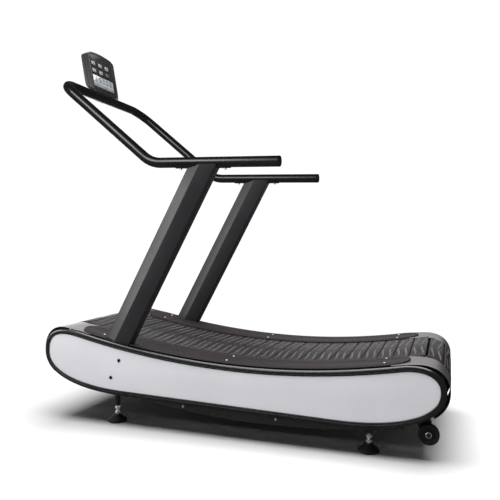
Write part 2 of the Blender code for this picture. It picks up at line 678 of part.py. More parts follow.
def crossbar_in_console():
    """The middle of the crossbar, in the console's frame."""
    across = Vector((CROSSBAR_X - CONSOLE_X, 0, CROSSBAR_Z - CONSOLE_Z))
    return Matrix.Rotation(-CONSOLE_LEAN, 3, "Y") @ across


def make_console_mount():
    """A cradle over the back of the crossbar with a plate up the back of the console."""
    centre = crossbar_in_console()
    start, end = math.radians(70), math.radians(196)
    middle = (centre.x, centre.z)
    inner = arc_points(middle, TUBE_R + 0.0006, start, end, 16)
    outer = arc_points(middle, TUBE_R + 0.0036, start, end, 16)
    band = solid("console_mount", prism(outer + inner[::-1], -0.035, 0.035), MATERIALS["tube_black"], CONSOLE)
    back = -CONSOLE_DEPTH - 0.0005
    plate = box((back - 0.004, -0.034, centre.z - 0.007), (back, 0.034, 0.095))
    combine(band, cutter("mount_plate", plate, CONSOLE), "UNION")
    low, high = (back - 0.002, -0.034, centre.z - 0.007), (centre.x - TUBE_R - 0.001, 0.034, centre.z + 0.011)
    combine(band, cutter("mount_web", box(low, high), CONSOLE), "UNION")


# ---- feet ----------------------------------------------------------------------------------------
def make_foot(end, name, way):
    x = FOOT_XS[end]
    boss_low = (BOSS_FLOOR - CHASSIS_Z + x * math.sin(NOSE_UP)) / math.cos(NOSE_UP)
    low, high = INNER_PLATE_OUT + GAP, OUTER_PLATE_IN - GAP
    arm = box((x - 0.025, low * 1.0, -0.006), (x + 0.025, high, 0.018))
    if way < 0:
        arm.free()
        arm = box((x - 0.025, -high, -0.006), (x + 0.025, -low, 0.018))
    bracket = solid(f"foot_bracket_{end}_{name}", arm, MATERIALS["frame_paint"], CHASSIS)
    boss = lathe([(boss_low, 0.0115), (0.004, 0.0115)], 16)
    combine(bracket, cutter(f"boss_{end}_{name}", boss, CHASSIS, (x, way * FOOT_Y, 0)), "UNION")
    thread = lathe([(boss_low - 0.01, STUD_R + 0.0005), (0.010, STUD_R + 0.0005)], 16)
    combine(bracket, cutter(f"thread_{end}_{name}", thread, CHASSIS, (x, way * FOOT_Y, 0)))

    # The stud hangs from the boss along the chassis' own up direction; its ball sits in the pad.
    ball = (0.0225 - CHASSIS_Z + x * math.sin(NOSE_UP)) / math.cos(NOSE_UP)
    nut = boss_low - 0.0075
    collar = ball + 0.0135
    profile = [(0.0, 0.004), (0.002, STUD_R), (collar - ball, STUD_R), (collar - ball, 0.0105)]
    profile += [(collar - ball + 0.007, 0.0105), (collar - ball + 0.007, STUD_R)]
    profile += [(nut - 0.006 - ball, STUD_R), (nut - 0.006 - ball, 0.0105)]
    profile += [(nut - ball, 0.0105), (nut - ball, STUD_R), (-0.016 - ball, STUD_R)]
    stud = lathe(profile, 12)
    solid(f"foot_stud_{end}_{name}", stud, MATERIALS["chrome"], CHASSIS, (x, way * FOOT_Y, ball), True)

    place = (to_world_x(x, ball), way * FOOT_Y, 0.0)
    shape = [(0.0, PAD_R - 0.002), (0.002, PAD_R), (0.010, PAD_R), (0.013, PAD_R - 0.003)]
    shape += [(0.024, 0.026), (0.030, 0.017), (PAD_HIGH, 0.014), (PAD_HIGH, 0.009), (0.0205, 0.0085)]
    pad = solid(f"foot_pad_{end}_{name}", lathe(shape, 28), MATERIALS["pad_rubber"], None, place, True)
    pad.data.name = pad.name


# ---- transport wheels ----------------------------------------------------------------------------
def make_wheel(name, way):
    low, high = WHEEL_Y
    bore = AXLE_R + 0.0004
    ring = [(low, bore), (high, bore), (high, 0.012), (high - 0.003, 0.015), (high - 0.003, 0.029)]
    ring += [(high, 0.031), (high, WHEEL_R - 0.003), (high - 0.003, WHEEL_R)]
    ring += [(low + 0.003, WHEEL_R), (low, WHEEL_R - 0.003)]
    wheel = tube_ring([(way * along, radius) for along, radius in ring], 32)
    place = (WHEEL_X, 0, WHEEL_Z)
    solid(f"transport_wheel_{name}", wheel, MATERIALS["wheel_black"], CHASSIS, place, smooth=True)

    arm = [(WHEEL_X - 0.014, WHEEL_Z - 0.012), (WHEEL_X + 0.014, WHEEL_Z - 0.012)]
    arm += [(WHEEL_X + 0.008, 0.025), (WHEEL_X - 0.015, 0.082)]
    arm += [(WHEEL_X - 0.060, 0.082), (WHEEL_X - 0.060, 0.03)]
    plate = solid(
        f"wheel_bracket_{name}", prism(arm, way * 0.3320, way * 0.3375), MATERIALS["frame_paint"], CHASSIS
    )
    pin_profile = [(0.334, AXLE_R), (0.3632, AXLE_R), (0.3632, 0.0085), (0.3675, 0.0085), (0.3685, 0.0065)]
    pin = lathe([(way * along, radius) for along, radius in pin_profile], 16, "Y")
    combine(plate, cutter(f"axle_bolt_{name}", pin, CHASSIS, place), "UNION")
    y_low, y_high = sorted((way * 0.334, way * (OUTER_PLATE_IN - GAP)))
    spacer = box((WHEEL_X - 0.056, y_low, 0.050), (WHEEL_X - 0.018, y_high, 0.078))
    combine(plate, cutter(f"wheel_spacer_{name}", spacer, CHASSIS), "UNION")


# ---- assembly ------------------------------------------------------------------------------------
clear_scene()
MATERIALS = {
    "panel_white": paint("panel_white", (0.80, 0.80, 0.82), 0.35),
    "trim_black": paint("trim_black", (0.020, 0.020, 0.022), 0.45),
    "frame_paint": paint("frame_paint", (0.055, 0.052, 0.056), 0.5),
    "rail_cover": paint("rail_cover", (0.075, 0.070, 0.074), 0.6),
    "end_strip": paint("end_strip", (0.32, 0.31, 0.32), 0.4, 0.6),
    "slat_rubber": paint("slat_rubber", (0.045, 0.042, 0.042), 0.8),
    "upright_paint": paint("upright_paint", (0.060, 0.058, 0.062), 0.45),
    "tube_black": paint("tube_black", (0.025, 0.025, 0.027), 0.4),
    "cap_rubber": paint("cap_rubber", (0.020, 0.020, 0.021), 0.6),
    "console_plastic": paint("console_plastic", (0.045, 0.042, 0.044), 0.4),
    "display": paint("display", (0.55, 0.57, 0.58), 0.2),
    "button_grey": paint("button_grey", (0.50, 0.50, 0.51), 0.45),
    "steel": paint("steel", (0.55, 0.55, 0.56), 0.35, 1.0),
    "chrome": paint("chrome", (0.75, 0.75, 0.76), 0.15, 1.0),
    "pad_rubber": paint("pad_rubber", (0.022, 0.022, 0.022), 0.7),
    "wheel_black": paint("wheel_black", (0.030, 0.030, 0.031), 0.5),
}
CHASSIS = empty("chassis_frame", None, (CHASSIS_X, 0, CHASSIS_Z), (0, NOSE_UP, 0))
CONSOLE = empty("console_frame", CHASSIS, (CONSOLE_X, 0, CONSOLE_Z), (0, CONSOLE_LEAN, 0))

for side_name, side_way in PANEL_SIDES.items():
    make_side(side_name, side_way)
    make_guide_rail(side_name, side_way)
    make_cover(side_name, side_way)
    make_end_strips(side_name, side_way)
    make_upright(side_name, side_way)
    make_wheel(side_name, side_way)
    for foot_end in FOOT_XS:
        make_foot(foot_end, side_name, side_way)
make_cross_members()
make_belt()
make_drum("front", FRONT_DRUM)
make_drum("rear", REAR_DRUM)
make_handlebar()
make_console()
make_console_mount()
bpy.context.view_layer.update()
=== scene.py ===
"""Looks of the curved manual treadmill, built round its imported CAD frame.

Metres.  The runner faces -X, and the runner's left is at -Y.  Most of the machine is designed in
the chassis frame: x along the machine, z up from the lower edge of the side panels, pitched
nose-up by NOSE_UP.
"""

from math import atan, copysign, cos, dist, pi, radians, sin, sqrt, tan

import bmesh
import bpy
from mathutils import Matrix, Vector


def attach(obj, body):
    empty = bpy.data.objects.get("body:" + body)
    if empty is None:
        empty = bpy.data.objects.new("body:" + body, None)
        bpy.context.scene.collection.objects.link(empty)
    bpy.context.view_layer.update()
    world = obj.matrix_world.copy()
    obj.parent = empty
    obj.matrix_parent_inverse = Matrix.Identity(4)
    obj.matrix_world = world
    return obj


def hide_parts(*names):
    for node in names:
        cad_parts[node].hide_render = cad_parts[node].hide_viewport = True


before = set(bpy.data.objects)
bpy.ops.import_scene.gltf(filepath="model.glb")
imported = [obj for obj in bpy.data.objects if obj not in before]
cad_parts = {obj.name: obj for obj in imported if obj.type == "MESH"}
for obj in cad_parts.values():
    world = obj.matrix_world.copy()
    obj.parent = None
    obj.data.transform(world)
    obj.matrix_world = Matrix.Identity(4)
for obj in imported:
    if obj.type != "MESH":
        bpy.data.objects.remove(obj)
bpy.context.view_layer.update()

# ---- the CAD model's own numbers ----
NOSE_UP, CHASSIS_X, CHASSIS_Z = radians(1.7), -0.0044, 0.1466
CHASSIS = Matrix.Translation((CHASSIS_X, 0, CHASSIS_Z)) @ Matrix.Rotation(NOSE_UP, 4, "Y")
SIDES = {"left": -1, "right": 1}

LOWEST_X, LOWEST_Z = 0.06, 0.1401
FRONT_RADIUS, REAR_RADIUS = 3.72, 3.05
FRONT_ARC_END, REAR_ARC_END = -0.68, 0.7
TIP_X, TIP_Z = 0.843, 0.1445
FLAT_BOTTOM_X, END_POWER = 0.45, 2.25
BULGE_LOW_X, BULGE_LOW_Z, BULGE_RADIUS = 0.1, -0.06, 3.4
BULGE_FRONT_X, BULGE_REAR_X = -0.42, 0.66

TRIM_OUT, TRIM_IN, TRIM_WIDTH = 0.395, 0.3795, 0.022
PANEL_OUT, PANEL_IN = 0.3915, 0.3795
PLATE_OUT, PLATE_IN = 0.379, 0.3755
COVER_OUT, COVER_IN, COVER_GROW = 0.376, 0.213, 0.028
COVER_FRONT_X, COVER_REAR_X = -0.715, 0.735
STRIP_OUT, STRIP_IN = 0.3755, 0.226

SLATS, SLAT_RISE = 57, 0.016
BELT_GROW, BELT_LOW_X, BELT_LOW_Z, END_RADIUS = 0.0245, 0.06, -0.068, 0.1
FRONT_DRUM, REAR_DRUM = (-0.781, 0.1574), (0.781, 0.1471)
BELT_TOP_FRONT_X, BELT_TOP_REAR_X, BELT_LEAD, BELT_LEAVE = 0.7575, 0.758, 0.27, radians(18)
SLAT_LENGTH, CARRIER_TOP, PAD_HALF = 0.0615, 0.006, 0.2195

UPRIGHT_Y, UPRIGHT_HALF, NOSE_HALF = 0.35, 0.025, 0.009
UPRIGHT_SLOPE = radians(63.4)
CREASE = Vector((-0.3204, 0.5975))
UPRIGHT_REAR, UPRIGHT_NOSE, UPRIGHT_FOOT_Z = 0.0698, -0.0497, 0.03
TUBE_R, HANDLE_Z = 0.022, 0.987
GRIP_END_X, BEND_X, BEND_RADIUS = 0.201, -0.366, 0.13
CROSSBAR_X, CROSSBAR_Z, CORNER_RADIUS = -0.8405, 1.36, 0.095
SADDLE_X, SADDLE_LENGTH = -0.125, 0.245

CONSOLE_LEAN = radians(-11.75)
CONSOLE = CHASSIS @ Matrix.Translation((-0.8229, 0, 1.3705)) @ Matrix.Rotation(CONSOLE_LEAN, 4, "Y")
CONSOLE_HALF, CONSOLE_HIGH, CONSOLE_ARCH = 0.113, 0.208, 0.012
CONSOLE_DEPTH, SHELL_SPLIT, UNDERSIDE_RISE = 0.047, 0.024, 0.8
DISPLAY_SIZE, DISPLAY_Y, DISPLAY_Z = (0.178, 0.056), -0.009, 0.068
BUTTON_SIZE, BUTTON_COLUMNS, BUTTON_ROWS = (0.03, 0.018), (-0.083, -0.025, 0.033), (0.154, 0.117)
KEYS = [(y, z) for z in BUTTON_ROWS for y in BUTTON_COLUMNS]

FOOT_Y, FOOT_XS = 0.312, {"front": -0.53, "rear": 0.586}
PAD_R, PAD_HIGH, BALL_FLOOR, BOSS_FLOOR, STUD_R = 0.042, 0.033, 0.0225, 0.072, 0.006
WHEEL = Vector((0.8056, 0, -0.019))
WHEEL_R, WHEEL_Y = 0.039, (0.3395, 0.3625)


# ---- materials ----
class Graph:
    """Builds one node material in short steps."""

    def __init__(self, name):
        self.material = bpy.data.materials.new(name)
        self.material.use_nodes = True
        self.tree = self.material.node_tree
        self.shader = self.tree.nodes["Principled BSDF"]
        self.where = self.node("ShaderNodeTexCoord").outputs["Object"]

    def node(self, kind, **settings):
        made = self.tree.nodes.new(kind)
        for key, value in settings.items():
            setattr(made, key, value)
        return made

    def link(self, source, target):
        self.tree.links.new(source, target)

    def stretch(self, scale):
        """The object's coordinates, scaled to make grain with a direction."""
        mapping = self.node("ShaderNodeMapping")
        mapping.inputs["Scale"].default_value = scale
        self.link(self.where, mapping.inputs["Vector"])
        return mapping.outputs["Vector"]

    def noise(self, scale, detail=3.0, rough=0.55, vector=None):
        noise = self.node("ShaderNodeTexNoise")
        noise.inputs["Scale"].default_value = scale
        noise.inputs["Detail"].default_value = detail
        noise.inputs["Roughness"].default_value = rough
        self.link(vector or self.where, noise.inputs["Vector"])
        return noise.outputs["Fac"]

    def cells(self, scale, feature):
        cells = self.node("ShaderNodeTexVoronoi", feature=feature)
        cells.inputs["Scale"].default_value = scale
        self.link(self.where, cells.inputs["Vector"])
        return cells.outputs["Distance"]

    def spread(self, value, low, high, start=0.3, end=0.7, **settings):
        """Maps the useful part of a texture's range to low..high."""
        ranged = self.node("ShaderNodeMapRange", **settings)
        for key, number in (("From Min", start), ("From Max", end), ("To Min", low), ("To Max", high)):
            ranged.inputs[key].default_value = number
        self.link(value, ranged.inputs["Value"])
        return ranged.outputs["Result"]

    def feed(self, socket, value):
        """Sets a socket to a number or a colour, or links another socket to it."""
        if isinstance(value, tuple):
            socket.default_value = (*value, 1.0)
        elif isinstance(value, (int, float)):
            socket.default_value = value
        else:
            self.link(value, socket)

    def math(self, operation, one, two):
        made = self.node("ShaderNodeMath", operation=operation)
        self.feed(made.inputs[0], one)
        self.feed(made.inputs[1], two)
        return made.outputs[0]

    def weigh(self, one, two, share):
        """The weighted mean of two values; share is the first one's weight."""
        return self.math("ADD", self.math("MULTIPLY", one, share), self.math("MULTIPLY", two, 1 - share))

    def blend(self, factor, one, two):
        """A colour from one to two by factor; each is a colour or a socket."""
        mix = self.node("ShaderNodeMix", data_type="RGBA")
        self.link(factor, mix.inputs["Factor"])
        self.feed(mix.inputs[6], one)
        self.feed(mix.inputs[7], two)
        return mix.outputs[2]

    def bump(self, height, distance, strength, under=None):
        bump = self.node("ShaderNodeBump")
        bump.inputs["Distance"].default_value = distance
        bump.inputs["Strength"].default_value = strength
        self.link(height, bump.inputs["Height"])
        if under is not None:
            self.link(under, bump.inputs["Normal"])
        return bump.outputs["Normal"]

    def finish(self, colour, roughness, normal=None, **constants):
        self.feed(self.shader.inputs["Base Color"], colour)
        self.feed(self.shader.inputs["Roughness"], roughness)
        if normal is not None:
            self.link(normal, self.shader.inputs["Normal"])
        for name, value in constants.items():
            self.shader.inputs[name.replace("_", " ")].default_value = value
        return self.material


def tinted(colour, factor):
    return tuple(channel * factor for channel in colour)


def moulded(name, colour, roughness, grain=1400, depth=0.00006, contrast=0.1, **constants):
    """Moulded plastic or rubber: a fine leathery grain, with slow changes of tone and gloss."""
    g = Graph(name)
    slow = g.noise(7.0, 4.0)
    fine = g.noise(grain * 0.35, 2.0)
    tone = g.blend(g.spread(slow, 0, 1), tinted(colour, 1 - contrast), tinted(colour, 1 + contrast))
    tone = g.blend(g.spread(fine, 0, 0.35), tone, tinted(colour, 1.35))
    gloss = g.spread(g.weigh(slow, fine, 0.7), roughness - 0.06, roughness + 0.08)
    grainy = g.bump(g.cells(grain, "SMOOTH_F1"), depth, 0.55)
    return g.finish(tone, gloss, g.bump(fine, depth * 1.5, 0.35, grainy), **constants)


def powder_coat(name, colour, roughness, peel_depth=0.00012, **constants):
    """Baked powder paint: a fine orange peel with tiny sparkling grains."""
    g = Graph(name)
    peel = g.noise(620, 2.0, 0.5)
    slow = g.noise(4.5, 4.0)
    grains = g.spread(g.noise(2600, 1.0), 0, 1, 0.62, 0.75)
    tone = g.blend(g.spread(slow, 0, 1), tinted(colour, 0.9), tinted(colour, 1.12))
    tone = g.blend(g.math("MULTIPLY", grains, 0.5), tone, tinted(colour, 1.9))
    gloss = g.spread(g.weigh(slow, peel, 0.6), roughness - 0.05, roughness + 0.07)
    return g.finish(tone, gloss, g.bump(peel, peel_depth, 0.4), **constants)


def metal(name, colour, roughness, brushing=(6, 260, 6), depth=0.00003, metallic=1.0, **constants):
    """Bare metal with fine brush or turning lines along its short axis of scale."""
    g = Graph(name)
    lines = g.noise(3.0, 5.0, 0.7, g.stretch(brushing))
    cloud = g.noise(9.0, 4.0)
    tone = g.blend(g.spread(lines, 0, 1), tinted(colour, 0.84), tinted(colour, 1.08))
    gloss = g.spread(g.weigh(lines, cloud, 0.6), roughness - 0.07, roughness + 0.09)
    return g.finish(tone, gloss, g.bump(lines, depth, 0.5), Metallic=metallic, **constants)


def panel_paint():
    """Smooth white sheet with a faint orange peel and a trace of dust in faint streaks."""
    g = Graph("panel_white_gloss")
    peel, slow = g.noise(240, 2.0, 0.45), g.noise(3.0, 5.0)
    marks = g.noise(14, 6.0, 0.65, g.stretch((0.5, 1.0, 2.4)))
    tone = g.blend(g.spread(slow, 0, 1), (0.585, 0.585, 0.612), (0.63, 0.63, 0.657))
    tone = g.blend(g.spread(marks, 0, 0.1, 0.55, 0.8), tone, (0.55, 0.55, 0.56))
    gloss = g.spread(g.weigh(slow, marks, 0.5), 0.24, 0.4)
    return g.finish(tone, gloss, g.bump(peel, 0.0001, 0.22), Coat_Weight=0.3, Coat_Roughness=0.12)


def tread_rubber(name, low, high, wear_and_sheen=0.055):
    """Running rubber: dark, slightly plum, with moulded grain and paler patches: worn on the pads, partly
    worn and partly painted sheen on the ridges.
    """
    g = Graph(name)
    slow, scuff = g.noise(5.0, 5.0), g.noise(60, 6.0, 0.7, g.stretch((1.0, 0.35, 1.0)))
    crumb = g.cells(900, "SMOOTH_F1")
    tone = g.blend(g.spread(slow, 0, 1), low, high)
    tone = g.blend(g.spread(scuff, 0, 0.55, 0.52, 0.74), tone, (wear_and_sheen, wear_and_sheen * 0.9, wear_and_sheen * 0.93))
    gloss = g.spread(scuff, 0.4, 0.62, 0.25, 0.75)
    rough = g.bump(g.noise(420, 3.0, 0.6), 0.00025, 0.5)
    return g.finish(tone, gloss, g.bump(crumb, 0.0002, 0.35, rough), Specular_IOR_Level=0.35)


def display_glass():
    """The grey liquid-crystal field: faint cell lines and a cloudy, slightly green-grey tone."""
    g = Graph("display_field")
    cloud = g.noise(22, 4.0)
    grid = g.cells(900, "DISTANCE_TO_EDGE")
    tone = g.blend(g.spread(cloud, 0, 1), (0.25, 0.275, 0.29), (0.33, 0.355, 0.37))
    tone = g.blend(g.spread(grid, 0.25, 0.0, 0.0, 0.12), tone, (0.2, 0.225, 0.235))
    return g.finish(tone, g.spread(cloud, 0.1, 0.22), None, Coat_Weight=0.6, Coat_Roughness=0.04)


def shine(level):
    return {"Specular_IOR_Level": level}


def make_materials():
    low, key = shine(0.28), (0.36, 1700, 0.00004, 0.05)
    plum, black = (0.0235, 0.0195, 0.0215), (0.009, 0.009, 0.0095)
    pad_tones = (0.0072, 0.006, 0.0065), (0.0125, 0.0105, 0.0112)
    # The ridges are far paler than the pads: partly rubbed wear, partly a painted highlight for the light
    # their edges catch.
    ridge_tones_with_sheen = (0.056, 0.05, 0.052), (0.1, 0.089, 0.093)
    turned_bolt = (90, 90, 90)
    return {
        "panel_white": panel_paint(),
        "trim_black": moulded("trim_black_vinyl", (0.008, 0.0076, 0.0082), 0.25, 1100, **shine(0.8)),
        "frame_paint": powder_coat("frame_powder_coat", (0.016, 0.0135, 0.015), 0.46, **low),
        "rail_cover": moulded("foot_rail_plastic", plum, 0.56, 1500, 0.0001, **shine(0.09)),
        "end_strip": metal("end_strip_satin", (0.265, 0.243, 0.252), 0.38, (260, 5, 260)),
        "slat_rubber": tread_rubber("tread_rubber", *pad_tones, 0.024),
        # Ridge tones and pale patches: partly wear, partly painted sheen.
        "ridge_rubber": tread_rubber("tread_ridges", *ridge_tones_with_sheen, 0.17),
        "slat_carrier": metal("slat_carrier_dark", (0.04, 0.04, 0.042), 0.42, (200, 5, 200)),
        "belt_core": moulded("belt_core_rubber", (0.008,) * 3, 0.6, 700, 0.0002, **low),
        "upright_paint": powder_coat("upright_powder_coat", (0.015, 0.0135, 0.0155), 0.38, **shine(0.38)),
        "tube_black": powder_coat("handlebar_powder_coat", black, 0.27, 0.000004, **shine(0.5)),
        "cap_rubber": moulded("cap_black_rubber", (0.009,) * 3, 0.5, 900, 0.00008, **low),
        "console_plastic": moulded("console_abs", (0.026, 0.022, 0.024), 0.38, 1300, 0.00006, **low),
        "console_face": moulded("console_overlay", (0.01, 0.0092, 0.01), 0.34, 2200, 0.00003,
                                **shine(0.14)),
        "display": display_glass(),
        "segment_ink": moulded("display_segments", (0.02, 0.024, 0.025), 0.3, 2500, 0.00002),
        "button_grey": moulded("button_grey_plastic", (0.21, 0.21, 0.215), *key),
        "button_dark": moulded("button_dark_plastic", (0.045, 0.043, 0.045), *key),
        "print_dark": moulded("button_print", (0.03, 0.03, 0.033), 0.4, 2500, 0.00002),
        "seam_black": moulded("seam_gasket", (0.006,) * 3, 0.55, 900, **low),
        "steel": metal("turned_steel", (0.56, 0.56, 0.57), 0.3),
        # Zinc and chrome are only partly metallic: part of their pale colour is diffuse, a painted
        # reflection that keeps them bright where little bright shows in them.
        "zinc": metal("zinc_bolt", (0.78, 0.78, 0.79), 0.34, turned_bolt, 0.00003, 0.7),
        "black_oxide": metal("black_oxide_bolt", (0.022, 0.022, 0.024), 0.34, turned_bolt),
        "chrome": metal("polished_chrome", (0.88, 0.88, 0.9), 0.22, (60, 60, 60), 0.00001, 0.62),
        "pad_rubber": moulded("pad_black_rubber", (0.01,) * 3, 0.55, 800, 0.00015, **low),
        "tyre_rubber": moulded("wheel_tyre", (0.009,) * 3, 0.5, 800, 0.00012, **low),
        "wheel_black": moulded("wheel_hub_nylon", (0.0085, 0.0085, 0.009), 0.42, 1200, **low),
    }


MATERIALS = make_materials()


# ---- mesh helpers ----
def as_mesh(name, bm):
    bmesh.ops.recalc_face_normals(bm, faces=bm.faces)
    mesh = bpy.data.meshes.new(name)
    bm.to_mesh(mesh)
    bm.free()
    return mesh


def add_object(name, data):
    obj = bpy.data.objects.new(name, data)
    bpy.context.scene.collection.objects.link(obj)
    return obj


def piece(name, bm, look, place=CHASSIS, body="frame", replaces=(), slot=None, angle=32, merge=True):
    """One visible piece from a bmesh in its own frame, riding on a CAD body.

    The slot argument is not used.
    """
    slot = slot or look
    if merge:
        bmesh.ops.remove_doubles(bm, verts=bm.verts, dist=1e-6)
    bm.transform(place)
    mesh = as_mesh(name, bm)
    mesh.shade_smooth()
    mesh.set_sharp_from_angle(angle=radians(angle))
    mesh.materials.append(MATERIALS[look])
    obj = add_object(name, mesh)
    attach(obj, body)
    if replaces:
        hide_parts(*replaces)
    return obj


def carve(obj, cutters):
    """Cuts bmesh solids, given in the row frame, out of an object and keeps only the result."""
    for bm in cutters:
        tool = add_object("tool", as_mesh("tool", bm))
        boolean = obj.modifiers.new("cut", "BOOLEAN")
        boolean.operation = "DIFFERENCE"
        boolean.object = tool
        bpy.context.view_layer.update()
        result = bpy.data.meshes.new_from_object(obj.evaluated_get(bpy.context.evaluated_depsgraph_get()))
        obj.modifiers.clear()
        old, obj.data = obj.data, result
        obj.data.name = obj.name
        bpy.data.meshes.remove(old)
        bpy.data.objects.remove(tool)
    obj.data.shade_smooth()
    obj.data.set_sharp_from_angle(angle=radians(30))


def add_loft(bm, rings, closed=False):
    """Adds a skin through rings of equally many points; closed joins the last ring to the first."""
    rows = [[bm.verts.new(point) for point in ring] for ring in rings]
    for one, two in zip(rows, rows[1:] + rows[:1] if closed else rows[1:]):
        for i in range(len(one)):
            j = (i + 1) % len(one)
            bm.faces.new((one[i], one[j], two[j], two[i]))
    if not closed:
        bm.faces.new(rows[0])
        bm.faces.new(rows[-1])


def loft(rings, closed=False):
    bm = bmesh.new()
    add_loft(bm, rings, closed)
    return bm


def circle(place, height, radius, sides):
    """A ring of points round the local z axis; radius is a number or a function of the turn."""
    ring = []
    for i in range(sides):
        turn = 2 * pi * i / sides
        reach = radius(turn) if callable(radius) else radius
        ring.append(place @ Vector((reach * cos(turn), reach * sin(turn), height)))
    return ring


def add_lathe(bm, profile, sides, place=Matrix.Identity(4), closed=False):
    """Adds a turned solid along the local z axis; profile holds (height, radius) pairs."""
    add_loft(bm, [circle(place, height, radius, sides) for height, radius in profile], closed)


def turned(profile, sides, place=Matrix.Identity(4), closed=False):
    bm = bmesh.new()
    add_lathe(bm, profile, sides, place, closed)
    return bm


def axis_place(point, axis):
    """A frame at point with its z along axis."""
    return Matrix.Translation(point) @ Vector(axis).to_track_quat("Z", "Y").to_matrix().to_4x4()


def rounded_box(size, radius, steps=3):
    """A box centred on its frame, all edges rounded."""
    bm = bmesh.new()
    bmesh.ops.create_cube(bm, size=1.0)
    bmesh.ops.scale(bm, vec=size, verts=bm.verts)
    bmesh.ops.bevel(bm, geom=bm.edges[:], offset=radius, segments=steps, affect="EDGES", profile=0.5)
    return bm


def merge_into(bm, other, place=Matrix.Identity(4)):
    other.transform(place)
    mesh = as_mesh("part", other)
    bm.from_mesh(mesh)
    bpy.data.meshes.remove(mesh)


def arc_points(centre, radius, start, end, steps):
    turns = [start + (end - start) * i / steps for i in range(steps + 1)]
    return [(centre[0] + radius * cos(t), centre[1] + radius * sin(t)) for t in turns]


def fillet(centre, radius, start, end, steps):
    """The same arc with its angles in degrees."""
    return arc_points(centre, radius, radians(start), radians(end), steps)


def bezier(p0, p1, p2, p3, steps):
    points = []
    for i in range(steps + 1):
        t = i / steps
        weights = ((1 - t) ** 3, 3 * t * (1 - t) ** 2, 3 * t * t * (1 - t), t**3)
        points.append(tuple(sum(w * p[k] for w, p in zip(weights, (p0, p1, p2, p3))) for k in (0, 1)))
    return points


def smoothstep(value):
    value = min(max(value, 0.0), 1.0)
    return value * value * (3 - 2 * value)


def round_corners(points, radii, steps):
    """A 3-D polyline with its inner corners turned on their radii."""
    path = [points[0]]
    for before, corner, after, radius in zip(points, points[1:], points[2:], radii):
        one, two = (before - corner).normalized(), (after - corner).normalized()
        half = one.angle(two) / 2
        centre = corner + (one + two).normalized() * (radius / sin(half))
        reach = radius / tan(half)
        start = (corner + one * reach - centre).normalized()
        end = (corner + two * reach - centre).normalized()
        path += [centre + start.slerp(end, i / steps) * radius for i in range(steps + 1)]
    path.append(points[-1])
    return path


def tube_rings(path, radius, sides):
    """Rings along a 3-D path, each turned from the last without twist."""
    rings = []
    side = Vector((0, 0, 1))
    for i, point in enumerate(path):
        before, after = path[max(i - 1, 0)], path[min(i + 1, len(path) - 1)]
        along = (after - before).normalized()
        side = (side - along * side.dot(along)).normalized()
        other = along.cross(side)
        turns = [2 * pi * k / sides for k in range(sides)]
        rings.append([point + (side * cos(t) + other * sin(t)) * radius for t in turns])
    return rings


# ---- fasteners ----
def hexagon(inner):
    """The distance from centre to side of a hexagon, as a function of the turn."""
    return lambda turn: inner / cos(turn % (pi / 3) - pi / 6)


def add_button_bolt(bm, point, axis, radius, height):
    """A domed head with a hexagon socket, standing on a surface."""
    place, sides = axis_place(point, axis), 24
    dome = [(-0.0015, radius), (height * 0.25, radius)]
    dome += [(height * (0.25 + 0.75 * sin(t)), radius * (0.55 + 0.45 * cos(t)))
             for t in (0.4, 0.8, 1.2, 1.57)]
    rings = [circle(place, z, r, sides) for z, r in dome]
    rings += [circle(place, height * level, hexagon(radius * share * cos(pi / 6)), sides)
              for level, share in ((1.0, 0.42), (0.45, 0.4))]
    add_loft(bm, rings)


def add_hex_nut(bm, point, axis, across, height, bore=0.0):
    """A hexagon nut with its corners chamfered."""
    place, inner, sides = axis_place(point, axis), across / 2, 36
    side = hexagon(inner)
    rings = [circle(place, height * level, lambda turn: min(side(turn), inner * cut), sides)
             for level, cut in ((0, 1.0), (0.12, 1.2), (0.88, 1.2), (1, 1.0))]
    if bore:
        rings += [circle(place, z, bore, sides) for z in (height, 0)]
    add_loft(bm, rings, closed=bool(bore))


# ---- the side profile ----
def deck_height(x):
    radius = FRONT_RADIUS if x < LOWEST_X else REAR_RADIUS
    return LOWEST_Z + (x - LOWEST_X) ** 2 / (2 * radius)


def deck_tilt(x):
    return atan((x - LOWEST_X) / (FRONT_RADIUS if x < LOWEST_X else REAR_RADIUS))


def crest(arc_end, radius, reach, drop, steps):
    way = copysign(1, arc_end)
    slope = abs(arc_end - LOWEST_X) / radius
    start = (arc_end, deck_height(arc_end))
    lead = (arc_end + way * reach, start[1] + reach * slope)
    return bezier(start, lead, (way * TIP_X, TIP_Z + drop), (way * TIP_X, TIP_Z), steps)


def lower_end(way, steps):
    points = []
    for i in range(steps + 1):
        turn = 0.5 * pi * i / steps
        across, down = cos(turn) ** (2 / END_POWER), sin(turn) ** (2 / END_POWER)
        points.append((way * (FLAT_BOTTOM_X + (TIP_X - FLAT_BOTTOM_X) * across), TIP_Z * (1 - down)))
    return points


def profile(arc=40, end=36):
    """The closed side profile and the index ranges of its stretches."""
    front = [FRONT_ARC_END + (LOWEST_X - FRONT_ARC_END) * i / arc for i in range(arc)]
    rear = [LOWEST_X + (REAR_ARC_END - LOWEST_X) * i / arc for i in range(arc)]
    top = [(x, deck_height(x)) for x in front + rear]
    rear_crest = crest(REAR_ARC_END, REAR_RADIUS, 0.085, 0.055, end)[:-1]
    front_crest = crest(FRONT_ARC_END, FRONT_RADIUS, 0.12, 0.074, end)[::-1][1:-1]
    bottom = [(FLAT_BOTTOM_X - 2 * FLAT_BOTTOM_X * i / 12, 0.0) for i in range(1, 12)]
    return {
        "top": top,
        "rear_crest": rear_crest,
        "rear_lower": lower_end(1, end),
        "bottom": bottom,
        "front_lower": lower_end(-1, end)[::-1],
        "front_crest": front_crest,
    }


def grown(points, grow):
    """Moves each point of a closed outline outwards."""
    result = []
    for i, (x, z) in enumerate(points):
        before, after = points[i - 1], points[(i + 1) % len(points)]
        along = Vector((after[0] - before[0], after[1] - before[1])).normalized()
        by = grow(x, z) if callable(grow) else grow
        result.append((x - along.y * by, z + along.x * by))
    return result


OUTLINE = [point for stretch in profile().values() for point in stretch]


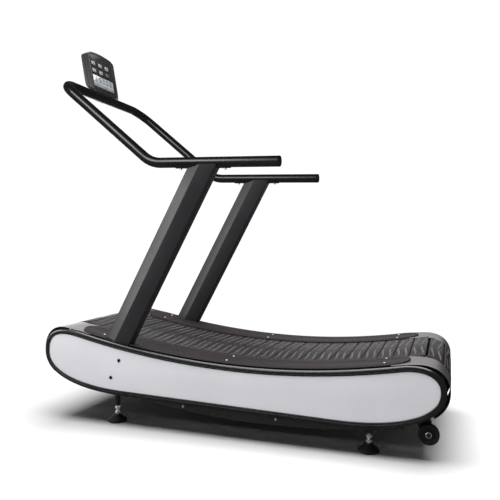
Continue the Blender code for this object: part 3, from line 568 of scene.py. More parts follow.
def plate_outline(grow):
    """The profile with the shallow bulge that hangs below the panel."""
    points = []
    for x, z in grown(OUTLINE, grow):
        if z < 0.05 and BULGE_FRONT_X - 0.06 < x < BULGE_REAR_X + 0.06:
            z = min(z, BULGE_LOW_Z + (x - BULGE_LOW_X) ** 2 / (2 * BULGE_RADIUS))
        points.append((x, z))
    return points


def panel_outline(grow):
    return grown(OUTLINE, grow)


def side_loft(way, section, outline=panel_outline, closed=False):
    """A skin round the side profile; section holds (grow, distance from the middle) pairs."""
    return loft([[(x, way * y, z) for x, z in outline(grow)] for grow, y in section], closed)


# ---- side panels ----
def side_bolts(name, way, spots, stand, radius, height, look):
    bolts = bmesh.new()
    for x, z in spots:
        add_button_bolt(bolts, (x, way * (stand + 0.0002), z), (0, way, 0), radius, height)
    piece(name, bolts, look, slot="steel", merge=False)


def make_side(name, way):
    edge, gap = 0.0012, 0.0002
    section = [(-gap, PANEL_IN), (-gap, PANEL_OUT - edge)]
    section += [(-gap - edge + edge * cos(t), PANEL_OUT - edge + edge * sin(t))
                for t in (0.4, 0.8, 1.2, 1.57)]
    piece(f"panel_skin_{name}", side_loft(way, section), "panel_white",
          replaces=[f"side_panel_{name}"])

    # The moulding has a soft lip over the panel, a shallow groove and a rounded outer corner.
    lip, corner, groove = 0.0013, 0.0098, TRIM_OUT - 0.0007
    section = [(gap, TRIM_IN + 0.0005), (gap, TRIM_OUT - lip)]
    section += fillet((gap + lip, TRIM_OUT - lip), lip, 180, 90, 4)[1:]
    section += [(0.006, TRIM_OUT), (0.0066, groove), (0.0078, groove), (0.0084, TRIM_OUT)]
    section += fillet((TRIM_WIDTH - corner, TRIM_OUT - corner), corner, 90, 0, 8)
    section += [(TRIM_WIDTH, TRIM_IN + 0.0015), (TRIM_WIDTH - 0.001, TRIM_IN)]
    piece(f"trim_moulding_{name}", side_loft(way, section, closed=True), "trim_black",
          replaces=[f"panel_trim_{name}"])

    edge, grow = 0.0008, 0.01
    section = [(grow - edge, PLATE_IN), (grow, PLATE_IN + edge)]
    section += [(grow, PLATE_OUT - edge), (grow - edge, PLATE_OUT)]
    piece(f"side_plate_{name}", side_loft(way, section, plate_outline), "frame_paint",
          replaces=[f"outer_side_plate_{name}"])

    side_bolts(f"panel_bolts_{name}", way, ((-0.48, 0.1315), (-0.5185, 0.053)),
               PANEL_OUT, 0.0074, 0.0034, "black_oxide")
    side_bolts(f"plate_bolts_{name}", way, ((-0.175, -0.0335), (0.229, -0.0335)),
               PLATE_OUT, 0.0045, 0.0026, "zinc")


# ---- foot rails and end strips ----
def upright_ring(way, level, spare=0.0, rounded=False, steps=4):
    """The bevelled section of the upright, cut level, with its long edges rounded or sharp."""
    climb = Vector((cos(UPRIGHT_SLOPE), sin(UPRIGHT_SLOPE)))
    rearward = Vector((climb.y, -climb.x))
    half, nose = UPRIGHT_HALF + spare, NOSE_HALF + spare
    rear, front = UPRIGHT_REAR + spare, UPRIGHT_NOSE - spare
    corners = [(rear, -half), (rear, half), (0.0, half), (front, nose), (front, -nose), (0.0, -half)]
    radii = [0.0055, 0.0055, 0.0045, 0.0045, 0.0045, 0.0045]
    points = [] if rounded else corners
    for i, radius in enumerate(radii if rounded else ()):
        here = Vector(corners[i])
        one = (Vector(corners[i - 1]) - here).normalized()
        two = (Vector(corners[(i + 1) % 6]) - here).normalized()
        half_turn = one.angle(two) / 2
        centre = here + (one + two).normalized() * (radius / sin(half_turn))
        start = here + one * radius / tan(half_turn) - centre
        end = here + two * radius / tan(half_turn) - centre
        sweep = start.angle_signed(end)
        points += [tuple(centre + Matrix.Rotation(-sweep * k / steps, 2) @ start) for k in range(steps + 1)]
    ring = []
    for offset, across in points:
        foot = CREASE + rearward * offset
        at = foot + climb * ((level - foot.y) / climb.y)
        ring.append(Vector((at.x, way * UPRIGHT_Y + across, at.y)))
    return ring


def deck_up(x):
    tilt = deck_tilt(x)
    return Vector((-sin(tilt), 0, cos(tilt)))


def make_cover(name, way):
    """The foot rail: a round-ended tray that follows the deck, with a rolled edge."""
    middle, half = (COVER_OUT + COVER_IN) / 2, (COVER_OUT - COVER_IN) / 2
    length, ends = COVER_REAR_X - COVER_FRONT_X, 20
    turns = [0.5 * pi * i / ends for i in range(ends + 1)]
    spots = [(half * (1 - cos(t)), half * sin(t)) for t in turns]
    spots += [(half + (length - 2 * half) * i / 60, half) for i in range(1, 60)]
    spots += [(length - s, w) for s, w in spots[ends::-1]]
    edge, thick = 0.002, 0.0028
    rounding = [(edge * (1 - cos(t)), edge * sin(t)) for t in (0, 0.5, 1.05, 1.57)]
    rings = []
    for s, width in spots:
        x, width = COVER_FRONT_X + s, max(width, 0.004)
        inner = [(-width + a, COVER_GROW - edge + b) for a, b in rounding]
        # Two shallow ribs run along the tray and stop short of its ends.
        rib = 0.0006 * smoothstep((width - 0.06) / 0.02)
        across = [-0.052, -0.05, -0.048, -0.046, 0.046, 0.048, 0.05, 0.052]
        ribs = [(a * width / half, COVER_GROW + b) for a, b in zip(across, [0, rib, rib, 0] * 2)]
        outer = [(-a, b) for a, b in inner[::-1]]
        under = [(width, COVER_GROW - thick), (-width, COVER_GROW - thick)]
        rings.append([Vector((x, way * (middle + a), deck_height(x))) + deck_up(x) * grow
                      for a, grow in inner + ribs + outer + under])
    cover = piece(f"foot_rail_{name}", loft(rings), "rail_cover",
                  replaces=[f"foot_rail_cover_{name}"])
    tool = loft([upright_ring(way, level, 0.0025) for level in (0.1, 0.32)])
    tool.transform(CHASSIS)
    carve(cover, [tool])

    bolts = bmesh.new()
    for x in (-0.598, -0.004, 0.641):
        for y in (0.331, 0.247):
            base = Vector((x, way * y, deck_height(x))) + deck_up(x) * (COVER_GROW + 0.0002)
            add_button_bolt(bolts, base, deck_up(x), 0.0042, 0.0022)
    piece(f"rail_bolts_{name}", bolts, "zinc", slot="steel", merge=False)


def strip_grow(x):
    """How far the end strip stands off the profile; it flares towards the tip."""
    return 0.0245 + 0.0095 * smoothstep((abs(x) - 0.72) / 0.11)


def make_end_strips(name, way):
    starts, count = {}, 0
    for key, points in profile().items():
        starts[key] = count
        count += len(points)
    stretches = {
        "front": [i % count for i in range(starts["front_crest"] - 12, count + 3)],
        "rear": range(starts["rear_crest"] - 2, starts["rear_lower"] + 12),
    }
    edge, thick = 0.0007, 0.0022
    low, high = STRIP_IN + edge, STRIP_OUT - edge
    section = [(low, 0), (high, 0), (STRIP_OUT, -edge), (STRIP_OUT, edge - thick)]
    section += [(high, -thick), (low, -thick), (STRIP_IN, edge - thick), (STRIP_IN, -edge)]
    layers = [(way * y, grown(OUTLINE, lambda x, z: strip_grow(x) + drop)) for y, drop in section]
    for end, chosen in stretches.items():
        rings = [[(layer[i][0], y, layer[i][1]) for y, layer in layers] for i in chosen]
        piece(f"end_cover_{end}_{name}", loft(rings), "end_strip",
              replaces=[f"end_strip_{end}_{name}"])


# ---- belt ----
def deck_strip(x_start, x_end, steps, grow):
    points = []
    for i in range(steps + 1):
        x = x_start + (x_end - x_start) * i / steps
        tilt = deck_tilt(x)
        points.append((x - grow * sin(tilt), deck_height(x) + grow * cos(tilt)))
    return points


def belt_path():
    """Dense closed path of the belt's pitch line, running rearwards on the top."""
    pitch, radius = BELT_GROW - SLAT_RISE, END_RADIUS - SLAT_RISE
    rear_tilt = atan((BELT_TOP_REAR_X - LOWEST_X) / REAR_RADIUS)
    front_tilt = atan((BELT_TOP_FRONT_X + LOWEST_X) / FRONT_RADIUS)
    top = deck_strip(FRONT_DRUM[0] + END_RADIUS * sin(front_tilt),
                     REAR_DRUM[0] - END_RADIUS * sin(rear_tilt), 120, pitch)
    up, low = 0.5 * pi, BELT_LOW_Z + SLAT_RISE
    rear_end = arc_points(REAR_DRUM, radius, up + rear_tilt, BELT_LEAVE - up, 40)
    front_end = arc_points(FRONT_DRUM, radius, 3 * up - BELT_LEAVE, up - front_tilt, 40)
    lead = Vector((-cos(BELT_LEAVE), -sin(BELT_LEAVE))) * BELT_LEAD
    off, on = Vector(rear_end[-1]), Vector(front_end[0])
    rear_run = bezier(off, off + lead, (BELT_LOW_X + BELT_LEAD, low), (BELT_LOW_X, low), 60)
    front_lead = on - Vector((lead.x, -lead.y))
    front_run = bezier((BELT_LOW_X, low), (BELT_LOW_X - BELT_LEAD, low), front_lead, on, 60)
    return top[:-1] + rear_end[:-1] + rear_run[:-1] + front_run[:-1] + front_end[:-1]


def even_points(path, count):
    lengths, closed = [0.0], path + path[:1]
    for one, two in zip(closed, closed[1:]):
        lengths.append(lengths[-1] + dist(one, two))
    points, place = [], 0
    for i in range(count):
        target = lengths[-1] * i / count
        while lengths[place + 1] < target:
            place += 1
        part = (target - lengths[place]) / (lengths[place + 1] - lengths[place])
        one, two = closed[place], closed[place + 1]
        points.append((one[0] + (two[0] - one[0]) * part, one[1] + (two[1] - one[1]) * part))
    return points


def slat_places():
    """A frame for each slat: x along the belt, z out of it, at the middle of its chord."""
    joints = even_points(belt_path(), SLATS)
    places = []
    for i, point in enumerate(joints):
        start, end = Vector(point), Vector(joints[(i + 1) % SLATS])
        along, middle = (end - start).normalized(), (start + end) / 2
        places.append(Matrix(((along.x, 0, -along.y, middle.x), (0, 1, 0, 0),
                              (along.y, 0, along.x, middle.y), (0, 0, 0, 1))))
    return places
def slat_pad():
    """The rubber pad of one slat: crowned, with rounded long edges."""
    half, low, high, corner = SLAT_LENGTH / 2, CARRIER_TOP, SLAT_RISE - 0.0009, 0.0026
    section = [(-half + 0.0012, low), (-half, low + 0.0012)]
    section += fillet((-half + corner, high - corner), corner, 180, 90, 4)
    section += [(-half * 0.5, high + 0.00025), (0, high + 0.0004), (half * 0.5, high + 0.00025)]
    section += fillet((half - corner, high - corner), corner, 90, 0, 4)
    section += [(half, low + 0.0012), (half - 0.0012, low)]
    edge = 0.0016
    rings = []
    for y, shrink in ((-PAD_HALF, edge), (-PAD_HALF + edge, 0), (PAD_HALF - edge, 0), (PAD_HALF, edge)):
        rings.append([(x * (1 - shrink / half), y, z - (shrink * 0.6 if z > high - corner else 0))
                      for x, z in section])
    return loft(rings)


def slat_tread():
    """Two pairs of long tapered ridges on one slat, bending slightly at the middle of the belt."""
    bm = bmesh.new()
    base, rise, half_length, lean, stations = SLAT_RISE - 0.0014, 0.003, 0.091, 0.055, 13
    profile = ((-1, 0), (-0.8, 0.45), (-0.45, 0.88), (0, 1), (0.45, 0.88), (0.8, 0.45), (1, 0), (0, -0.3))
    for hand in (-1, 1):
        for row in (-0.0148, 0.0148):
            rings = []
            for i in range(stations):
                s = -1 + 2 * i / (stations - 1)
                taper = sqrt(max(1 - s * s, 0.0)) * 0.97 + 0.03
                y = hand * (0.103 + half_length * s)
                x = row + lean * half_length * s + 0.0022 * sin(pi * s)
                wide, tall = 0.0052 * taper, rise * (0.35 + 0.65 * taper)
                rings.append([(x + wide * a, y, base + tall * b) for a, b in profile])
            add_loft(bm, rings)
    return bm


def slat_carrier():
    """The metal bar under the pad, with a stiffening rib."""
    half, top = SLAT_LENGTH / 2 - 0.001, CARRIER_TOP - 0.0002
    section = ((-half, 0.0008), (-half, top), (half, top), (half, 0.0008),
               (0.006, 0.0002), (-0.006, 0.0002))
    return loft([[(x, y, z) for x, z in section] for y in (-0.2215, 0.2215)])


def make_belt():
    pads, treads, carriers = bmesh.new(), bmesh.new(), bmesh.new()
    for place in slat_places():
        merge_into(pads, slat_pad(), place)
        merge_into(treads, slat_tread(), place)
        merge_into(carriers, slat_carrier(), place)
    piece("belt_pads", pads, "slat_rubber", replaces=["slat_belt"], merge=False)
    piece("belt_tread", treads, "ridge_rubber", slot="slat_rubber", merge=False)
    piece("belt_carriers", carriers, "slat_carrier", slot="slat_rubber", merge=False)
    joints = even_points(belt_path(), SLATS * 4)
    for name, way in SIDES.items():
        outer, inner = grown(joints, -0.0006), grown(joints, -0.0038)
        rings = []
        for (xo, zo), (xi, zi) in zip(outer, inner):
            low, high = sorted((way * 0.15, way * 0.192))
            rings.append([(xo, low, zo), (xo, high, zo), (xi, high, zi), (xi, low, zi)])
        piece(f"belt_band_{name}", loft(rings, closed=True), "belt_core", slot="slat_rubber")


# ---- uprights and handlebar ----
def make_upright(name, way):
    levels = [UPRIGHT_FOOT_Z, 0.35, 0.65, HANDLE_Z - 0.009]
    column = piece(f"upright_column_{name}", loft([upright_ring(way, z, rounded=True) for z in levels]),
                   "upright_paint", replaces=[f"upright_{name}"])
    carve(column, [turned([(-0.22, TUBE_R + 0.0042), (0.22, TUBE_R + 0.0042)], 64,
                          CHASSIS @ axis_place((SADDLE_X, way * UPRIGHT_Y, HANDLE_Z), (1, 0, 0)))])

    # The saddle plate: a shell under the tube with rounded ends, on two bolts.
    rings = []
    spread, steps = radians(60), 16
    for i in range(33):
        s = -1 + 2 * i / 32
        x = SADDLE_X + s * SADDLE_LENGTH / 2
        wide = spread * min(1.0, sqrt(max(1 - abs(s) ** 14, 0.0)) + 0.25)
        ring = []
        for radius, turns in ((TUBE_R + 0.0006, 1), (TUBE_R + 0.0034, -1)):
            for k in range(steps + 1)[::turns]:
                t = -wide + 2 * wide * k / steps
                ring.append((x, way * UPRIGHT_Y + radius * sin(t), HANDLE_Z - radius * cos(t)))
        rings.append(ring)
    piece(f"saddle_plate_{name}", loft(rings), "tube_black", replaces=[f"saddle_{name}"])
    bolts = bmesh.new()
    for x in (-0.1005, 0.1005):
        base = Vector((SADDLE_X + x, way * UPRIGHT_Y, HANDLE_Z - TUBE_R - 0.0032))
        add_lathe(bolts, [(0, 0.0072), (0.001, 0.0075), (0.0014, 0.007)], 24, axis_place(base, (0, 0, -1)))
        add_hex_nut(bolts, base + Vector((0, 0, -0.0014)), (0, 0, -1), 0.01, 0.0045)
    piece(f"saddle_bolts_{name}", bolts, "zinc", slot="steel", merge=False)


def make_handlebar():
    near = [(GRIP_END_X, HANDLE_Z), (BEND_X, HANDLE_Z), (CROSSBAR_X, CROSSBAR_Z)]
    corners = [Vector((x, -UPRIGHT_Y, z)) for x, z in near]
    corners += [Vector((x, UPRIGHT_Y, z)) for x, z in near[::-1]]
    path = round_corners(corners, (BEND_RADIUS, CORNER_RADIUS, CORNER_RADIUS, BEND_RADIUS), 22)
    tube = loft(tube_rings(path, TUBE_R, 56))
    piece("handlebar_tube", tube, "tube_black", replaces=["handlebar"], angle=50)
    for name, way in SIDES.items():
        shape = [(0.0003, TUBE_R - 0.0006), (0.0009, TUBE_R + 0.0002), (0.005, TUBE_R + 0.0002)]
        shape += [(0.0066, TUBE_R - 0.0004), (0.008, TUBE_R - 0.0022), (0.0088, TUBE_R - 0.0055)]
        shape += [(0.0091, TUBE_R - 0.012), (0.0092, 0.003)]
        cap = turned(shape, 56, axis_place((GRIP_END_X, way * UPRIGHT_Y, HANDLE_Z), (1, 0, 0)))
        piece(f"grip_cap_{name}", cap, "cap_rubber", replaces=[f"grip_end_cap_{name}"], angle=50)


# ---- console ----
def console_ring(depth, inset):
    """Outline of the console at a depth behind its face, shrunk by inset on all sides."""
    half, chin, corner = CONSOLE_HALF - inset, 0.018, 0.016
    low, high = inset, CONSOLE_HIGH - inset
    start, end = (half - chin - 0.004, low), (half, low + chin * 1.3 + 0.006)
    pull = (half - chin * 0.1, low + chin * 0.3)
    right = [(0.0, low), start]
    for t in (i / 6 for i in range(7)):
        weights = ((1 - t) ** 2, 2 * t * (1 - t), t * t)
        right.append(tuple(sum(w * p[k] for w, p in zip(weights, (start, pull, end))) for k in (0, 1)))
    right.append((half, high - corner))
    for t in (pi * i / 16 for i in range(1, 8)):
        right.append((half - corner * 0.9 * (1 - cos(t)), high - corner + corner * 0.93 * sin(t)))
    for i in range(1, 13):
        across = (half - corner * 0.9) * (1 - i / 12)
        right.append((across, high + CONSOLE_ARCH * (1 - (across / half) ** 2)))
    left = [(-y, z) for y, z in right[-2:0:-1]]
    return [(-depth, y, z + UNDERSIDE_RISE * depth * (1 - z / CONSOLE_HIGH)) for y, z in right + left]


def console_piece(name, stations, look="console_plastic", replaces=()):
    """A skin through console outlines at (depth, inset) stations."""
    skin = loft([console_ring(depth, inset) for depth, inset in stations])
    return piece(name, skin, look, CONSOLE, replaces=replaces, slot="console_plastic")


def on_console(bm, *spot):
    bm.transform(CONSOLE @ Matrix.Translation(spot))
    return bm


def key_box(deep, spare, radius):
    return rounded_box((deep, BUTTON_SIZE[0] + spare, BUTTON_SIZE[1] + spare), radius)


def seven_segments(digit, wide, high, stroke):
    """Boxes (y, z, half width, half height) that light up for a digit."""
    lit = {"0": "abcdef", "2": "abged", "3": "abgcd", "5": "afgcd", "8": "abcdefg"}[digit]
    w, h, s = wide / 2, high / 2, stroke / 2
    bars = {
        "a": (0, h - s, w - stroke, s), "d": (0, s - h, w - stroke, s), "g": (0, 0, w - stroke, s),
        "b": (w - s, h / 2, s, h / 2 - s), "c": (w - s, -h / 2, s, h / 2 - s),
        "f": (s - w, h / 2, s, h / 2 - s), "e": (s - w, -h / 2, s, h / 2 - s),
    }
    return [bars[key] for key in lit]


def make_console():
    edge, back_edge = 0.0035, 0.009
    stations = [(0.003, 0.0075), (0.0012, 0.0068), (0.0, 0.0055), (0.0002, 0.003)]
    stations += [(edge * (1 - cos(t)), 0.0016 * (1 - sin(t))) for t in (0.7, 1.1, 1.57)]
    stations += [(0.0105, 0.0), (0.011, 0.0008), (0.012, 0.0008), (0.0125, 0.0)]
    stations += [(SHELL_SPLIT - 0.0012, 0.0), (SHELL_SPLIT - 0.0006, 0.001)]
    front = console_piece("console_front", stations, replaces=["console_front_shell"])
    stations = [(SHELL_SPLIT - 0.0006, 0.0022), (SHELL_SPLIT + 0.001, 0.0022)]
    seam = console_piece("console_seam", stations, "seam_black")
    stations = [(SHELL_SPLIT + 0.001, 0.001), (SHELL_SPLIT + 0.0016, 0.0)]
    stations += [(0.0325, 0.0), (0.033, 0.0008), (0.034, 0.0008), (0.0345, 0.0002)]
    stations += [(CONSOLE_DEPTH - back_edge * (1 - sin(t)), 0.0004 + 0.0088 * (1 - cos(t)))
                 for t in (0.1, 0.4, 0.75, 1.1, 1.4, 1.57)]
    back = console_piece("console_back", stations, replaces=["console_back_shell"])

    # All three are scooped out underneath to sit over the crossbar and its clamp.
    crossbar = CHASSIS @ axis_place((CROSSBAR_X, 0, CROSSBAR_Z), (0, 1, 0))
    for shell in (front, back, seam):
        carve(shell, [turned([(-reach, radius), (reach, radius)], 64, crossbar)
                      for radius, reach in ((TUBE_R + 0.0012, 0.2), (TUBE_R + 0.0048, 0.038))])

    # The dark overlay fills the recess in the face; the display window and the keys cut through it.
    stations = [(0.0034, 0.008), (0.0019, 0.008), (0.0015, 0.0085)]
    overlay = console_piece("console_overlay", stations, "console_face")
    wide, high = DISPLAY_SIZE
    window = rounded_box((0.012, wide + 0.0006, high + 0.0006), 0.0015)
    windows = [on_console(window, 0.001, DISPLAY_Y, DISPLAY_Z)]
    for shell, tools in ((overlay, windows), (front, [])):
        carve(shell, tools + [on_console(key_box(0.012, 0.0016, 0.003), -0.0005, y, z) for y, z in KEYS])
    for number, (y, z) in enumerate(KEYS, 1):
        rim = piece(f"key_bezel_{number}", key_box(0.0022, 0.006, 0.001), "seam_black",
                    CONSOLE @ Matrix.Translation((-0.0008, y, z)), slot="console_plastic")
        carve(rim, [on_console(key_box(0.012, 0.0014, 0.0028), 0, y, z)])
        piece(f"key_cap_{number}", rounded_box((0.0068, *BUTTON_SIZE), 0.0024, 4),
              "button_dark" if number == 6 else "button_grey", CONSOLE @ Matrix.Translation((-0.001, y, z)),
              f"button_{number}_body", [f"console_button_{number}"], "button_grey")
        print_on_key(number, y, z)

    field = rounded_box((0.002, wide - 0.001, high - 0.001), 0.0006, 2)
    piece("display_field", field, "display", CONSOLE @ Matrix.Translation((-0.0026, DISPLAY_Y, DISPLAY_Z)),
          replaces=["console_display"])
    make_digits()
    ribs = bmesh.new()
    for z in (0.03, 0.036):
        rib = rounded_box((0.0008, 0.15, 0.0012), 0.0003, 2)
        merge_into(ribs, rib, Matrix.Translation((-0.0012, 0, z)))
    piece("console_ribs", ribs, "console_plastic", CONSOLE, merge=False)


def box_outline(y0, z0, y1, z1):
    return [(y0, z0), (y1, z0), (y1, z1), (y0, z1)]


def print_on_key(number, y, z):
    """A plain generic symbol on each key: triangles, bars and a square."""
    bar = 0.0035
    shapes = {
        1: [[(-0.004, -0.003), (0.004, -0.003), (0, 0.004)]],
        2: [box_outline(-bar, -bar, -0.001, bar), box_outline(0.001, -bar, bar, bar)],
        3: [[(-0.004, 0.003), (0, -0.004), (0.004, 0.003)]],
        4: [box_outline(-0.004, -0.001, 0.004, 0.001)],
        5: [box_outline(-0.0032, -0.0032, 0.0032, 0.0032)],
        6: [[(-0.003, -0.0038), (0.004, 0), (-0.003, 0.0038)]],
    }
    bm = bmesh.new()
    for outline in shapes[number]:
        add_loft(bm, [[(level, y + a, z + b) for a, b in outline] for level in (0.00205, 0.00255)])
    piece(f"key_symbol_{number}", bm, "print_dark", CONSOLE, f"button_{number}_body", slot="button_grey")


def make_digits():
    """Five plain figures and a scale of small bars, printed just proud of the display."""
    figure_size, pitch, lean, stroke = (0.015, 0.027), 0.031, 0.12, 0.0042
    outlines = []
    for number, figure in enumerate("25308"):
        middle = DISPLAY_Y + (number - 2) * pitch
        for dy, dz, half_y, half_z in seven_segments(figure, *figure_size, stroke):
            outlines.append([(middle + dy + a + (dz + b) * lean, DISPLAY_Z + 0.0085 + dz + b)
                             for a, b in box_outline(-half_y, -half_z, half_y, half_z)])
    for number in range(24):
        left, low = DISPLAY_Y - 0.079 + 0.0066 * number, DISPLAY_Z - 0.0225
        tall = 0.0022 + 0.004 * (0.5 + 0.5 * sin(number * 0.55))
        outlines.append(box_outline(left, low, left + 0.0044, low + tall))
    bm = bmesh.new()
    for outline in outlines:
        add_loft(bm, [[(level, y, z) for y, z in outline] for level in (-0.00175, -0.0015)])
    piece("display_digits", bm, "segment_ink", CONSOLE, slot="display", merge=False)


# ---- feet and wheels ----
def make_foot(end, name, way):
    x, label, stud_body = FOOT_XS[end], f"{end}_{name}", f"foot_{end}_{name}_stud_body"
    ball, boss = ((level - CHASSIS_Z + x * sin(NOSE_UP)) / cos(NOSE_UP)
                  for level in (BALL_FLOOR, BOSS_FLOOR))
    place = CHASSIS @ Matrix.Translation((x, way * FOOT_Y, 0))
    pitch, top, core, bore = 0.00175, -0.014, STUD_R - 0.0009, STUD_R - 0.0004
    thread = [(ball, 0.004), (ball + 0.002, STUD_R)]
    for i in range(int((top - ball - 0.016) / pitch)):
        z = ball + 0.014 + i * pitch
        thread += [(z, core), (z + pitch * 0.42, STUD_R), (z + pitch * 0.58, STUD_R)]
    thread += [(top - 0.0015, core), (top, STUD_R - 0.0018)]
    piece(f"foot_stud_thread_{label}", turned(thread, 24), "chrome", place, stud_body,
          [f"foot_stud_{label}"])
    nuts = bmesh.new()
    add_hex_nut(nuts, (0, 0, ball + 0.0135), (0, 0, 1), 0.019, 0.0085, bore)
    add_hex_nut(nuts, (0, 0, boss - 0.0165), (0, 0, 1), 0.019, 0.007, bore)
    low, high = boss - 0.0093, boss - 0.0077
    add_lathe(nuts, [(low, 0.012), (high, 0.012), (high, bore), (low, bore)], 32, closed=True)
    piece(f"foot_nuts_{label}", nuts, "chrome", place, stud_body, merge=False)

    # The pad: a ribbed rim, a dome and a collar round the ball.
    centre = CHASSIS @ Vector((x, way * FOOT_Y, ball))
    shape = [(0.0006, PAD_R - 0.003), (0.0, PAD_R - 0.0022), (0.0012, PAD_R - 0.0004), (0.003, PAD_R)]
    shape += [(0.0095, PAD_R), (0.0112, PAD_R - 0.001), (0.0122, PAD_R - 0.004), (0.015, 0.035)]
    shape += [(0.0195, 0.0285), (0.024, 0.0232), (0.028, 0.0186), (0.03, 0.0166), (0.0318, 0.0158)]
    shape += [(0.0328, 0.0146), (PAD_HIGH - 0.0002, 0.013), (PAD_HIGH - 0.0002, 0.0105)]
    shape += [(0.0315, 0.0094), (0.0205, 0.0086)]
    rings = []
    for z, r in shape:
        rib = 0.0007 if 0.002 < z < 0.0105 and r > 0.04 else 0.0
        rings.append(circle(Matrix.Translation((centre.x, centre.y, 0)), z,
                            lambda turn: r - rib * max(0.0, cos(24 * turn)), 96))
    piece(f"pad_{label}", loft(rings), "pad_rubber", Matrix.Identity(4), f"foot_{label}_pad_body",
          [f"foot_pad_{label}"], angle=45)


def make_wheel(name, way):
    low, high = WHEEL_Y
    body, place, edge = f"wheel_{name}_body", CHASSIS @ axis_place(WHEEL, (0, way, 0)), 0.0042
    corner = [(edge - edge * cos(t), WHEEL_R - edge + edge * sin(t) - 0.0004) for t in (0.2, 0.7, 1.2)]
    tyre = [(low, 0.029), (low, WHEEL_R - edge - 0.001)] + [(low + a, r) for a, r in corner]
    tyre += [(low + 0.0075, WHEEL_R - 0.0001), ((low + high) / 2, WHEEL_R)]
    tyre += [(high - 0.0075, WHEEL_R - 0.0001)]
    tyre += [(high - a, r) for a, r in corner[::-1]] + [(high, WHEEL_R - edge - 0.001)]
    tyre += [(high + 0.0002, 0.033), (high - 0.0008, 0.0322), (high - 0.0008, 0.029)]
    piece(f"wheel_tyre_{name}", turned(tyre, 72, closed=True), "tyre_rubber", place, body,
          [f"transport_wheel_{name}"], "wheel_black")
    hub = [(low + 0.001, 0.0056), (low + 0.001, 0.012), (low + 0.004, 0.0135), (low + 0.004, 0.0262)]
    hub += [(low + 0.001, 0.0292), (high - 0.001, 0.0292), (high - 0.0014, 0.0278), (high - 0.0042, 0.0258)]
    hub += [(high - 0.0052, 0.02), (high - 0.0046, 0.0138), (high - 0.001, 0.0118)]
    hub += [(high - 0.0004, 0.0104), (high - 0.0004, 0.0056)]
    bm = turned(hub, 72, closed=True)
    for i in range(6):
        merge_into(bm, rounded_box((0.015, 0.0026, 0.004), 0.0008, 2),
                   Matrix.Rotation(pi * i / 3, 4, "Z") @ Matrix.Translation((0.0205, 0, high - 0.0048)))
    piece(f"wheel_hub_{name}", bm, "wheel_black", place, body, merge=False)
    bm = turned([(high + 0.0004, 0.0106), (high + 0.0014, 0.011), (high + 0.002, 0.0102)], 32)
    add_button_bolt(bm, (0, 0, high + 0.002), (0, 0, 1), 0.0082, 0.004)
    piece(f"wheel_axle_head_{name}", bm, "zinc", place, slot="steel", merge=False)


def make_mount_bolts():
    bolts = bmesh.new()
    for y in (-0.022, 0.022):
        for z in (0.042, 0.084):
            add_button_bolt(bolts, (-CONSOLE_DEPTH - 0.0045, y, z), (-1, 0, 0), 0.0048, 0.003)
    piece("mount_bolts", bolts, "zinc", CONSOLE, slot="steel", merge=False)


# ---- CAD nodes that stay, with better materials ----
def dress_cad_nodes():
    looks = {"console_mount": "tube_black", "front_drum": "steel", "rear_drum": "steel"}
    bevelled = ("cross_member", "foot_bracket", "wheel_bracket", "console_mount")
    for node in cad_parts:
        if node.startswith(("cross_member", "inner_side_plate", "foot_bracket", "wheel_bracket")):
            looks[node] = "frame_paint"
        if node.startswith(("guide_rail", "shaft_bearing")):
            looks[node] = "steel"
    for node, look in looks.items():
        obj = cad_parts[node]
        for slot in obj.material_slots:
            slot.material = MATERIALS[look]
        if node.startswith(bevelled):
            bevel = obj.modifiers.new("soft_edges", "BEVEL")
            bevel.width, bevel.segments = 0.0008, 2
            bevel.limit_method, bevel.angle_limit = "ANGLE", radians(40)


# ---- studio ----
def area_light(name, place, target, size, power, lit):
    """A lamp that the camera doesn't see and that lights only one collection."""
    data = bpy.data.lights.new(name, "AREA")
    data.shape, data.energy = "RECTANGLE", power
    data.size, data.size_y = size
    lamp = add_object(name, data)
    lamp.visible_camera = False
    lamp.light_linking.receiver_collection = lit
    lamp.location = place
    lamp.rotation_euler = (Vector(target) - Vector(place)).to_track_quat("-Z", "Y").to_euler()


def make_world():
    """White behind everything, but a dimmer, softer white as a light source."""
    world = bpy.data.worlds.new("studio")
    bpy.context.scene.world = world
    world.use_nodes = True
    tree = world.node_tree
    seen = tree.nodes["Background"]
    seen.inputs["Color"].default_value = (1.0, 1.0, 1.0, 1.0)
    seen.inputs["Strength"].default_value = 1.05
    lit = tree.nodes.new("ShaderNodeBackground")
    lit.inputs["Color"].default_value = (0.95, 0.97, 1.0, 1.0)
    lit.inputs["Strength"].default_value = 0.07
    path = tree.nodes.new("ShaderNodeLightPath")
    mix = tree.nodes.new("ShaderNodeMixShader")
    tree.links.new(path.outputs["Is Camera Ray"], mix.inputs[0])
    tree.links.new(lit.outputs[0], mix.inputs[1])
    tree.links.new(seen.outputs[0], mix.inputs[2])
    tree.links.new(mix.outputs[0], tree.nodes["World Output"].inputs["Surface"])


def floor_paint():
    """Pale matt floor that brightens to pure white away from the machine."""
    g = Graph("studio_floor")
    cloud = g.noise(0.8, 3.0)
    tone = g.blend(g.spread(cloud, 0, 1), (0.93, 0.93, 0.935), (0.95, 0.95, 0.955))
    g.finish(tone, 0.9, None, Specular_IOR_Level=0.05)
    far = g.node("ShaderNodeVectorMath", operation="LENGTH")
    g.link(g.where, far.inputs[0])
    away = g.spread(far.outputs["Value"], 0, 1, 1.3, 3.0, interpolation_type="SMOOTHSTEP")
    glow = g.node("ShaderNodeEmission")
    glow.inputs["Strength"].default_value = 1.05
    mix = g.node("ShaderNodeMixShader")
    g.link(away, mix.inputs[0])
    g.link(g.shader.outputs[0], mix.inputs[1])
    g.link(glow.outputs[0], mix.inputs[2])
    g.link(mix.outputs[0], g.tree.nodes["Material Output"].inputs["Surface"])
    return g.material


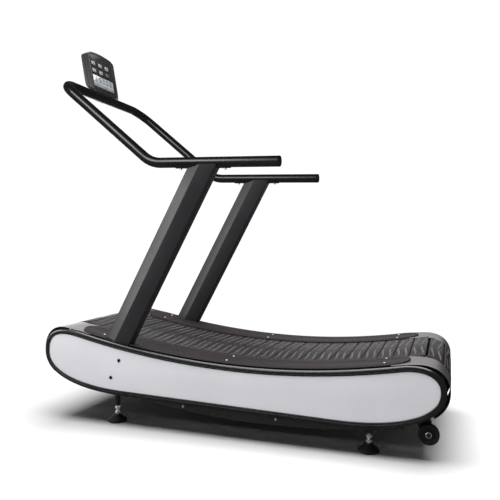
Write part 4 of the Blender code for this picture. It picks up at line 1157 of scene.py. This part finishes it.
def make_studio():
    floor = bmesh.new()
    bmesh.ops.create_grid(floor, x_segments=2, y_segments=2, size=25)
    mesh = bpy.data.meshes.new("studio_floor")
    floor.to_mesh(mesh)
    floor.free()
    mesh.materials.append(floor_paint())
    obj = add_object("studio_floor", mesh)
    obj.visible_glossy = False
    make_world()
    machine, body, tubes, solids = (bpy.data.collections.new(f"lit_{group}")
                                    for group in ("machine", "body", "tubes", "solids"))
    for item in [item for item in bpy.context.scene.objects if item.type == "MESH"]:
        tubular, real = item.name.startswith(("handlebar", "grip_", "saddle")), item != obj
        for group, belongs in ((machine, real), (body, not tubular), (tubes, tubular),
                               (solids, real and not tubular)):
            if belongs:
                group.objects.link(item)
    area_light("overhead", (0.1, 0.05, 3.3), (0.1, 0.0, 0.2), (4.2, 4.0), 245, body)
    area_light("front_left", (-2.8, -1.85, 1.35), (-0.3, -0.3, 0.75), (1.0, 1.8), 52, solids)
    area_light("near_high", (-0.7, -3.0, 2.15), (-0.4, -0.3, 0.9), (0.6, 0.5), 10, solids)
    area_light("far_rim", (-2.7, 2.3, 1.0), (-0.6, 0.0, 0.5), (1.6, 1.4), 17, machine)
    area_light("far_back", (0.35, 3.5, 1.1), (0.4, 0.0, 0.4), (2.6, 0.9), 8, solids)
    area_light("tube_key", (-1.45, -2.8, 2.69), (-0.6, -0.33, 1.17), (1.1, 1.7), 56, tubes)
    bpy.context.scene.view_settings.view_transform = "Standard"


def make_camera():
    data = bpy.data.cameras.new("camera")
    data.lens = 41.16
    data.sensor_width = 36
    data.clip_end = 60
    camera = add_object("camera", data)
    camera.location = (0.8654, -2.5308, 0.8254)
    camera.rotation_euler = (radians(90 - 1.266), 0, radians(19.19))
    bpy.context.scene.camera = camera


make_camera()
dress_cad_nodes()
for side_name, side_way in SIDES.items():
    make_side(side_name, side_way)
    make_cover(side_name, side_way)
    make_end_strips(side_name, side_way)
    make_upright(side_name, side_way)
    make_wheel(side_name, side_way)
    for foot_end in FOOT_XS:
        make_foot(foot_end, side_name, side_way)
make_belt()
make_handlebar()
make_console()
make_mount_bolts()
make_studio()
